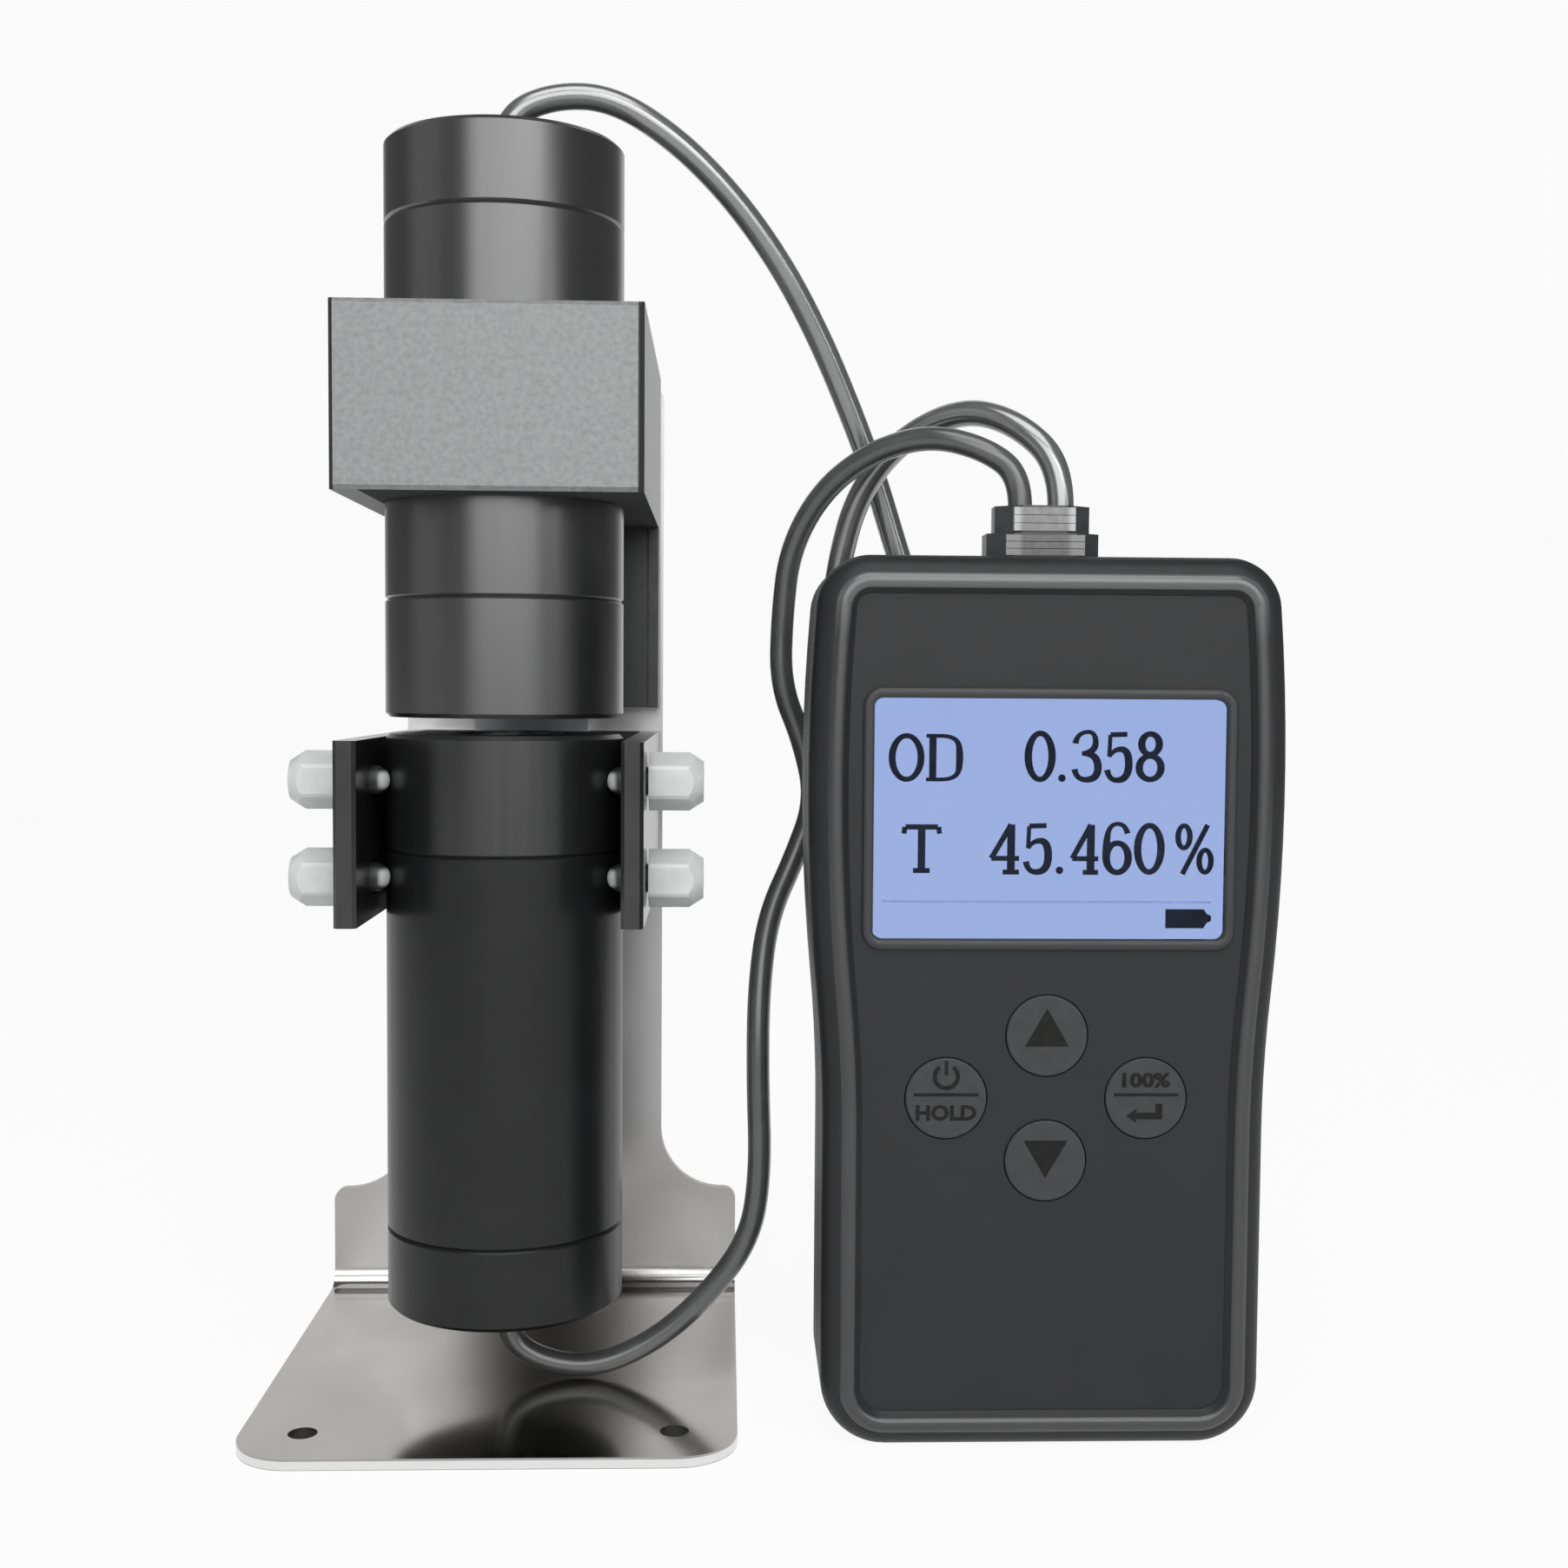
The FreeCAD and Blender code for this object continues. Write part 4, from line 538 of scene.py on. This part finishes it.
def dress(finish, *names):
    """Gives these CAD pieces a finish in all their slots."""
    for name in names:
        for place in nodes[name].material_slots:
            place.material = finish.material


def cover(piece, material):
    """Gives a drawn piece one material and no other."""
    piece.data.materials.clear()
    piece.data.materials.append(material)


subparts = frame["record"]["subparts"]
for part in subparts:
    dress(FINISHES[part["material_slot"]], part["node"])
dress(stud_black_with_highlight(), *(p["node"] for p in subparts if p["node"].startswith("clamp_stud_")))
dress(turned_black("sensor_probe_black", 1.0, 0.5), "upper_nose", "upper_barrel", "upper_cap")
dress(turned_black("lamp_nose_black", 0.7, 0.0), "lower_nose")
cover(upper_lead, FINISHES["lead_grey"].material)
# the lamp's lead: a duller copy of the lead finish, painted darker as shade
cover(lower_lead, lead_grey("lamp_lead_grey", 0.062, 0.8, 1.55).material)

# ---------------------------------------------------------------- the reading on the display

ink = display_ink().material
display_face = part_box("display_module")[0].y
INK_THICKNESS, RULE_THICKNESS, LEGEND_THICKNESS = 0.04 * MM, 0.03 * MM, 0.05 * MM
THICK, THIN = 0.078, 0.042
OVAL_POINTS = 8
OVAL_REACH = 1.08  # a smooth ring lies inside the points that lead it


def oval(x, y, across, up, side=THICK, end=THIN):
    """A closed ring, heavier at its sides than at its ends."""
    ring = []
    for step in range(OVAL_POINTS):
        turn = math.radians(360 / OVAL_POINTS * (step + 0.5))
        heavy = abs(math.cos(turn))
        ring.append((x + across * OVAL_REACH * math.cos(turn),
                     y + up * OVAL_REACH * math.sin(turn), end + (side - end) * heavy))
    return ring, True


def stroke(*points):
    """An open line through these points."""
    return list(points), False


# each sign's width and strokes, in a box one unit high: x, y and half the stroke's width
SIGNS = {
    "0": (0.54, [oval(0.27, 0.5, 0.21, 0.46)]),
    "3": (0.56, [stroke((0.07, 0.76, 0.065), (0.1, 0.96, THIN), (0.46, 1.02, THIN),
                        (0.48, 0.58, THICK), (0.2, 0.56, THIN)),
                 stroke((0.2, 0.56, THIN), (0.5, 0.58, THICK), (0.54, 0.06, THICK),
                        (0.1, 0.02, THIN), (0.06, 0.25, 0.065))]),
    "4": (0.56, [stroke((0.4, 0.97, 0.055), (0.04, 0.3, 0.055)),
                 stroke((0.04, 0.3, 0.05), (0.55, 0.3, 0.05)),
                 stroke((0.4, 0.97, THICK), (0.4, 0.02, THICK)),
                 stroke((0.25, 0.03, 0.05), (0.55, 0.03, 0.05))]),
    "5": (0.54, [stroke((0.12, 0.94, 0.05), (0.48, 0.95, 0.05)),
                 stroke((0.12, 0.94, THIN), (0.1, 0.5, THIN)),
                 stroke((0.1, 0.5, THIN), (0.2, 0.66, THIN), (0.52, 0.64, THICK),
                        (0.52, 0.06, THICK), (0.1, 0.01, THIN), (0.06, 0.24, 0.065))]),
    "6": (0.56, [stroke((0.47, 0.8, 0.06), (0.42, 1.0, THIN), (0.12, 0.98, THIN),
                        (0.06, 0.55, THICK), (0.07, 0.3, THICK)),
                 oval(0.28, 0.32, 0.21, 0.29)]),
    "8": (0.56, [oval(0.28, 0.755, 0.165, 0.205), oval(0.28, 0.285, 0.205, 0.235)]),
    "O": (0.75, [oval(0.375, 0.5, 0.31, 0.47)]),
    "D": (0.75, [stroke((0.16, 0.96, THICK), (0.16, 0.04, THICK)),
                 stroke((0.02, 0.97, THIN), (0.3, 0.97, THIN)),
                 stroke((0.02, 0.03, THIN), (0.3, 0.03, THIN)),
                 stroke((0.3, 0.97, THIN), (0.68, 0.98, THIN), (0.74, 0.5, 0.09),
                        (0.68, 0.02, THIN), (0.3, 0.03, THIN))]),
    "T": (0.78, [stroke((0.06, 0.94, 0.055), (0.72, 0.94, 0.055)),
                 stroke((0.05, 0.94, 0.055), (0.03, 0.8, 0.05)),
                 stroke((0.73, 0.94, 0.055), (0.75, 0.8, 0.05)),
                 stroke((0.39, 0.94, THICK), (0.39, 0.05, THICK)),
                 stroke((0.22, 0.04, 0.052), (0.56, 0.04, 0.052))]),
    "%": (0.74, [stroke((0.62, 0.98, 0.052), (0.14, 0.0, 0.052)),
                 oval(0.16, 0.74, 0.115, 0.22, 0.058), oval(0.58, 0.26, 0.115, 0.22, 0.058)])}


def flatten(piece, face, thickness):
    """Turns a flat drawing upright, facing the front, this thick and just proud of a face."""
    mesh = piece.data
    mesh.transform(Matrix.Rotation(math.radians(90), 4, "X"))
    near = min(v.co.y for v in mesh.vertices)
    far = max(v.co.y for v in mesh.vertices)
    for vertex in mesh.vertices:
        vertex.co.y = face - thickness + (vertex.co.y - near) / (far - near) * thickness
    return piece


def draw_sign(name, sign, left, right, bottom, top):
    """One sign of the reading, fitted between four edges of the display, in millimetres."""
    width, strokes = SIGNS[sign]
    curve = bpy.data.curves.new(name, "CURVE")
    curve.dimensions = "3D"
    curve.resolution_u = 8
    curve.bevel_resolution = 3
    curve.bevel_depth = (top - bottom) * MM
    curve.use_fill_caps = True
    for points, closed in strokes:
        line = curve.splines.new("NURBS")
        line.points.add(len(points) - 1)
        for point, (x, y, half) in zip(line.points, points):
            along = left + x / width * (right - left)
            point.co = (along * MM, (bottom + y * (top - bottom)) * MM, 0, 1)
            point.radius = half
        line.order_u = min(3, len(points))
        line.use_cyclic_u = closed
        line.use_endpoint_u = not closed
    piece = flatten(meshed(name, curve), display_face, INK_THICKNESS)
    cover(piece, ink)
    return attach(piece, "stand")


# for each bottom and top on the display, the signs between them with their left and right edges
READING = {
    (88.5, 94.6): [("density_O", "O", 52.4, 57.0), ("density_D", "D", 57.15, 61.85)],
    (88.5, 95.1): [("density_units", "0", 70.3, 74.35), ("density_tenths", "3", 76.5, 80.25),
                   ("density_hundredths", "5", 80.85, 84.2),
                   ("density_thousandths", "8", 84.95, 88.9)],
    (76.4, 82.8): [("transmission_T", "T", 54.25, 59.35)],
    (76.3, 83.0): [("transmission_tens", "4", 65.75, 69.8),
                   ("transmission_units", "5", 70.25, 73.7),
                   ("transmission_tenths", "4", 76.5, 80.3),
                   ("transmission_hundredths", "6", 80.8, 84.7),
                   ("transmission_thousandths", "0", 85.0, 89.0),
                   ("transmission_percent", "%", 90.5, 95.55)]}
for (bottom, top), signs in READING.items():
    for name, sign, left, right in signs:
        draw_sign(name, sign, left, right, bottom, top)


def finished(name, mesh, material, body):
    """The modelled mesh as a piece that rides on a body."""
    data = bpy.data.meshes.new(name)
    mesh.to_mesh(data)
    mesh.free()
    piece = add(name, data)
    piece.data.materials.append(material)
    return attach(piece, body)


def press_out(name, mesh, thickness, material, body):
    """A flat upright mesh, brought forward by its thickness and closed."""
    bmesh.ops.recalc_face_normals(mesh, faces=mesh.faces)
    grown = bmesh.ops.extrude_face_region(mesh, geom=mesh.faces[:], use_keep_orig=True)
    raised = [v for v in grown["geom"] if isinstance(v, bmesh.types.BMVert)]
    bmesh.ops.translate(mesh, verts=raised, vec=(0, -thickness, 0))
    bmesh.ops.recalc_face_normals(mesh, faces=mesh.faces)
    return finished(name, mesh, material, body)


def plate(name, outline, face, thickness, material, body):
    """A thin flat piece with this outline, as x and z in millimetres, just proud of a face."""
    mesh = bmesh.new()
    corners = [mesh.verts.new((x * MM, face, z * MM)) for x, z in outline]
    bmesh.ops.contextual_create(mesh, geom=corners)
    return press_out(name, mesh, thickness, material, body)


def bar(left, right, bottom, top):
    """The outline of an upright rectangle."""
    return [(left, bottom), (right, bottom), (right, top), (left, top)]


def dot(name, x, z, radius=0.5):
    """A round decimal point on the display, measured in millimetres."""
    mesh = bmesh.new()
    bmesh.ops.create_circle(mesh, cap_ends=True, segments=20, radius=radius * MM,
                            matrix=Matrix.Translation(Vector((x * MM, display_face, z * MM)))
                            @ Matrix.Rotation(math.radians(90), 4, "X"))
    return press_out(name, mesh, INK_THICKNESS, ink, "stand")


dot("density_point", 75.25, 88.95)
dot("transmission_point", 75.1, 76.75)
plate("display_rule", bar(51.6, 95.4, 72.4, 72.72), display_face, RULE_THICKNESS,
      display_rule().material, "stand")
plate("battery_sign", [(89.3, 69.1), (94.4, 69.1), (94.8, 69.8), (95.4, 70.1), (95.4, 70.75),
                       (94.8, 71.05), (94.4, 71.65), (89.3, 71.65)], display_face,
      INK_THICKNESS, ink, "stand")

# ---------------------------------------------------------------- key legends

legend = legend_black().material
key_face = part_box("key_up")[0].y
KEYS = {"key_up": (73.3, 55.2), "key_down": (73.3, 38.6),
        "key_power": (60.1, 46.9), "key_enter": (86.5, 46.9)}  # each key's middle, as x and z


def on_key(name, key, outline):
    """A printed sign on a key, with its outline measured from the key's middle."""
    x, z = KEYS[key]
    return plate(name, [(x + a, z + b) for a, b in outline], key_face, LEGEND_THICKNESS, legend,
                 key)


def word_on_key(name, key, text, width, height, bottom):
    """A printed word on a key, with its foot measured from the key's middle."""
    x, z = KEYS[key]
    words = bpy.data.curves.new(name, "FONT")
    words.body = text
    words.align_x = "CENTER"
    words.extrude = 0.02
    words.offset = 0.04
    words.resolution_u = 3
    piece = meshed(name, words)
    xs = [v.co.x for v in piece.data.vertices]
    ys = [v.co.y for v in piece.data.vertices]
    fit = Matrix.Diagonal((width / (max(xs) - min(xs)) * MM, height / (max(ys) - min(ys)) * MM,
                           MM, 1))
    middle = (max(xs) + min(xs)) / 2
    piece.data.transform(fit @ Matrix.Translation((-middle, -min(ys), 0)))
    flatten(piece, key_face, LEGEND_THICKNESS)
    piece.data.transform(Matrix.Translation((x * MM, 0, (z + bottom) * MM)))
    cover(piece, legend)
    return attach(piece, key)


on_key("up_sign", "key_up", [(-2.9, -1.4), (2.9, -1.4), (0, 3.6)])
on_key("down_sign", "key_down", [(-2.9, 2.7), (0, -2.3), (2.9, 2.7)])
for key, sign in (("key_power", "power_rule"), ("key_enter", "enter_rule")):
    on_key(sign, key, bar(-4.25, 4.25, 0.3, 0.7))
word_on_key("hold_word", "key_power", "HOLD", 8.0, 2.1, -2.95)
word_on_key("hundred_percent", "key_enter", "100%", 6.4, 2.0, 1.45)
on_key("power_bar", "key_power", bar(-0.22, 0.22, 3.1, 4.95))
on_key("enter_stem", "key_enter", bar(1.3, 2.2, -2.75, -0.7))
on_key("enter_shaft", "key_enter", bar(-1.25, 1.3, -2.75, -1.9))
on_key("enter_head", "key_enter", [(-1.25, -3.25), (-1.25, -1.4), (-2.6, -2.32)])


def power_ring():
    """The ring of the power sign, open at its top."""
    start, sweep_turn = math.radians(55), math.radians(-290)
    inner, outer, raised = 1.25 * MM, 1.8 * MM, 2.9
    x, z = KEYS["key_power"]
    x, z = x * MM, (z + raised) * MM
    mesh = bmesh.new()
    ends = [mesh.verts.new((x + r * math.cos(start), key_face, z + r * math.sin(start)))
            for r in (inner, outer)]
    edge = mesh.edges.new(ends)
    bmesh.ops.spin(mesh, geom=[*ends, edge], cent=(x, key_face, z), axis=(0, -1, 0),
                   dvec=(0, 0, 0), angle=sweep_turn, steps=28, use_merge=False,
                   use_duplicate=False)
    return press_out("power_ring", mesh, LEGEND_THICKNESS, legend, "key_power")


power_ring()

# ---------------------------------------------------------------- trim of the meter and the plug

FACES_FRONT = -0.972  # a face whose normal has a lower y than this looks forward
RIM_HIGHLIGHT_FROM, RIM_HIGHLIGHT_WHOLE = 107 * MM, 112.5 * MM  # the rim's top, painted paler as a highlight
RIM_SECTION = ((0.05, 0.12), (0.13, 0.2), (0.16, 0.15), (0.18, 0.07),
               (0.18, -0.02), (0.15, -0.1), (0.1, -0.14), (0.05, -0.17))
SCREEN_SECTION = ((0.05, 0.12), (0.11, 0.1), (0.16, 0.06), (0.18, 0.02),
                  (0.18, -0.02), (0.16, -0.06), (0.11, -0.1), (0.05, -0.14))

# painted highlight: the rim's crest is a paler copy of the case finish, painted paler still towards
# its top
highlit_rim_case = case_grey("highlit_rim_case", (0.026, 0.0265, 0.028), 0.34, 0.75, 0.0005)
highlit_rim_case.tint(highlit_rim_case.spread(highlit_rim_case.sides()[2], 0.0, 1.0, RIM_HIGHLIGHT_FROM, RIM_HIGHLIGHT_WHOLE),
                 (0.085, 0.086, 0.088), 0.26)
frame_case = case_grey("frame_case", (0.03, 0.031, 0.0325), 0.42, 0.4, 0.003)


def rounded_crest(name, low, high, section, material):
    """A rounded bead on a narrow ring of the case's front that lies between two depths. Its
    section runs inwards from the ring's outer edge, in shares of its width and in heights."""
    mesh = bmesh.new()
    mesh.from_mesh(nodes["meter_front_case"].data)
    bmesh.ops.remove_doubles(mesh, verts=mesh.verts, dist=0.001 * MM)
    rest = [f for f in mesh.faces if f.normal.y > FACES_FRONT
            or min(v.co.y for v in f.verts) < low or max(v.co.y for v in f.verts) > high]
    bmesh.ops.delete(mesh, geom=rest, context="FACES")
    outer, ends = set(), [max(mesh.verts, key=lambda v: v.co.z)]
    while ends:
        end = ends.pop()
        for edge in end.link_edges:
            if edge.is_boundary and edge not in outer:
                outer.add(edge)
                ends.append(edge.other_vert(end))
    width = (max(v.co.z for e in outer for v in e.verts)
             - max(v.co.z for e in mesh.edges if e.is_boundary and e not in outer for v in e.verts))
    bmesh.ops.delete(mesh, geom=mesh.faces[:], context="FACES_ONLY")
    bmesh.ops.delete(mesh, geom=[e for e in mesh.edges if e not in outer], context="EDGES")
    ring = bmesh.ops.edgeloop_fill(mesh, edges=mesh.edges[:])["faces"]
    mesh.normal_update()
    if ring[0].normal.y > 0:
        bmesh.ops.reverse_faces(mesh, faces=ring)
    for share, height in section:
        bmesh.ops.inset_region(mesh, faces=ring, thickness=share * width, depth=height * MM,
                               use_boundary=True, use_even_offset=True)
    bmesh.ops.delete(mesh, geom=ring, context="FACES")
    for side in mesh.faces:
        side.smooth = True
    borders = [e for e in mesh.edges if e.is_boundary]
    for edge in borders:
        edge.smooth = False
    bmesh.ops.bridge_loops(mesh, edges=borders)
    bmesh.ops.recalc_face_normals(mesh, faces=mesh.faces)
    return finished(name, mesh, material, "stand")


case_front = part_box("meter_front_case")[0].y
rounded_crest("rim_crest", case_front - 0.02 * MM, case_front + 0.14 * MM, RIM_SECTION,
              highlit_rim_case.material)
rounded_crest("screen_crest", case_front + 0.33 * MM, case_front + 0.37 * MM, SCREEN_SECTION,
              frame_case.material)

PAD_DEPTH, PAD_RIBS = 1.2 * MM, 3
RIB_GAP, RIB_HEIGHT = 0.07 * MM, 0.16 * MM


def grip(name, node, across, low, high, side, material):
    """A ribbed pad on the front or back of the plug or its boot, let into it at the back."""
    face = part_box(node)[0 if side < 0 else 1].y
    middle = Vector((METER_MIDDLE, face - side * PAD_DEPTH, (low + high) / 2 * MM))
    mesh = bmesh.new()
    bmesh.ops.create_grid(mesh, x_segments=1, y_segments=PAD_RIBS, size=0.5,
                          matrix=Matrix.Translation(middle)
                          @ Matrix.Rotation(math.radians(90), 4, "X")
                          @ Matrix.Diagonal((across * MM, (high - low) * MM, 1, 1)))
    grown = bmesh.ops.extrude_face_region(mesh, geom=mesh.faces[:], use_keep_orig=True)["geom"]
    raised = [g for g in grown if isinstance(g, bmesh.types.BMVert)]
    bmesh.ops.translate(mesh, verts=raised, vec=(0, side * PAD_DEPTH, 0))
    bmesh.ops.recalc_face_normals(mesh, faces=mesh.faces)
    ribs = [g for g in grown if isinstance(g, bmesh.types.BMFace)]
    bmesh.ops.inset_individual(mesh, faces=ribs, thickness=RIB_GAP, depth=RIB_HEIGHT)
    return finished(name, mesh, material, "stand")


plug_grip = grip_grey("plug_grip", 0.125).material
boot_grip = grip_grey("boot_grip", 0.24).material
for word, side in (("front", -1), ("back", 1)):
    grip("plug_grip_" + word, "lead_plug", 10.6, 118.35, 121.15, side, plug_grip)
    grip("boot_grip_" + word, "plug_boot", 8.3, 121.65, 124.85, side, boot_grip)

# ---------------------------------------------------------------- studio

SWEEP_FRONT, SWEEP_BACK, SWEEP_SIDE = -1.6, 1.0, 0.85
SWEEP_BEND, SWEEP_WALL = 0.6, 1.6


def sweep():
    """A pale floor that curves up into a backdrop."""
    mesh = bmesh.new()
    ends = [mesh.verts.new((x, SWEEP_FRONT, 0)) for x in (-SWEEP_SIDE, SWEEP_SIDE)]
    edge = mesh.edges.new(ends)
    run = bmesh.ops.extrude_edge_only(mesh, edges=[edge])
    back = [g for g in run["geom"] if isinstance(g, bmesh.types.BMVert)]
    bmesh.ops.translate(mesh, verts=back, vec=(0, SWEEP_BACK - SWEEP_FRONT, 0))
    rise = [g for g in run["geom"]
            if isinstance(g, bmesh.types.BMEdge) and set(g.verts) == set(back)]
    turned = bmesh.ops.spin(mesh, geom=back + rise, cent=(0, SWEEP_BACK, SWEEP_BEND),
                            axis=(1, 0, 0), dvec=(0, 0, 0), angle=math.radians(90), steps=20,
                            use_merge=False, use_duplicate=False)
    last = [g for g in turned["geom_last"] if isinstance(g, bmesh.types.BMEdge)]
    wall = bmesh.ops.extrude_edge_only(mesh, edges=last)
    top = [g for g in wall["geom"] if isinstance(g, bmesh.types.BMVert)]
    bmesh.ops.translate(mesh, verts=top, vec=(0, 0, SWEEP_WALL))
    bmesh.ops.recalc_face_normals(mesh, faces=mesh.faces)
    for face in mesh.faces:
        face.smooth = True
    data = bpy.data.meshes.new("sweep")
    mesh.to_mesh(data)
    mesh.free()
    return add("sweep", data)


def shown(tree, plainly, mirrored):
    """A mix with the share of its own white that a backdrop shows: plainly to the camera and
    through glass, and mirrored in gloss."""
    rays = tree.nodes.new("ShaderNodeLightPath").outputs
    seen = worked_out(tree, "MAXIMUM", rays["Is Camera Ray"], rays["Is Transmission Ray"])
    share = worked_out(tree, "MAXIMUM", worked_out(tree, "MULTIPLY", seen, plainly),
                       worked_out(tree, "MULTIPLY", rays["Is Glossy Ray"], mirrored))
    mix = tree.nodes.new("ShaderNodeMixShader")
    tree.links.new(share, mix.inputs["Fac"])
    return mix


def sweep_white():
    """Pale card; to the camera and in reflections it is nearly white, and keeps its shadow."""
    f = Finish("sweep_white", (0.82, 0.82, 0.82), 0.9)
    light = f.node("ShaderNodeEmission")
    light.inputs["Color"].default_value = (1, 1, 1, 1)
    mix = shown(f.tree, plainly=0.93, mirrored=0.93)
    f.link(f.shader.outputs["BSDF"], mix.inputs[1])
    f.link(light.outputs["Emission"], mix.inputs[2])
    f.link(mix.outputs["Shader"], f.tree.nodes["Material Output"].inputs["Surface"])
    return f.material


floor = sweep()
floor.data.materials.append(sweep_white())


def soft_box(name, place, aim, across, up, watts, roll=0):
    """A rectangular lamp that faces its aim, rolled about that line by so many degrees."""
    lamp = bpy.data.lights.new(name, "AREA")
    lamp.shape = "RECTANGLE"
    lamp.size = across
    lamp.size_y = up
    lamp.energy = watts
    box = add(name, lamp)
    box.location = place
    facing = (Vector(aim) - Vector(place)).to_track_quat("-Z", "Y").to_matrix()
    box.rotation_euler = (facing @ Matrix.Rotation(math.radians(roll), 3, "Z")).to_euler()
    return box


# each lamp's place and aim in metres, its width and height, and its watts
soft_box("front_box", (0.13, -1.15, 0.52), (0.03, 0, 0.13), 1.5, 0.74, 10.8)
soft_box("top_box", (0.05, -0.62, 1.2), (0.03, 0, 0.1), 1.0, 0.8, 8)
soft_box("left_box", (-1.1, -0.35, 0.5), (0.03, 0, 0.09), 0.8, 0.9, 1)
back_box = soft_box("right_box", (1.0, 1.0, 0.6), (0.03, 0, 0.12), 0.25, 0.9, 2.2)
back_box.visible_glossy = False
slim_box = soft_box("lead_box", (0.62, -0.9, 0.58), (0.06, 0, 0.15), 1.3, 0.09, 2.3, roll=-33)
slim_box.visible_diffuse = False


def studio_world():
    """A dim room round the object, which the camera sees as white from every side."""
    world = bpy.data.worlds.new("studio")
    world.use_nodes = True
    tree = world.node_tree
    room = tree.nodes["Background"]
    room.inputs["Color"].default_value = (0.15, 0.15, 0.15, 1)
    white = tree.nodes.new("ShaderNodeBackground")
    white.inputs["Color"].default_value = (1, 1, 1, 1)
    mix = shown(tree, plainly=0.96, mirrored=0.02)
    tree.links.new(room.outputs["Background"], mix.inputs[1])
    tree.links.new(white.outputs["Background"], mix.inputs[2])
    tree.links.new(mix.outputs["Shader"], tree.nodes["World Output"].inputs["Surface"])
    return world


bpy.context.scene.world = studio_world()
bpy.context.scene.view_settings.view_transform = "Standard"

bpy.context.view_layer.update()
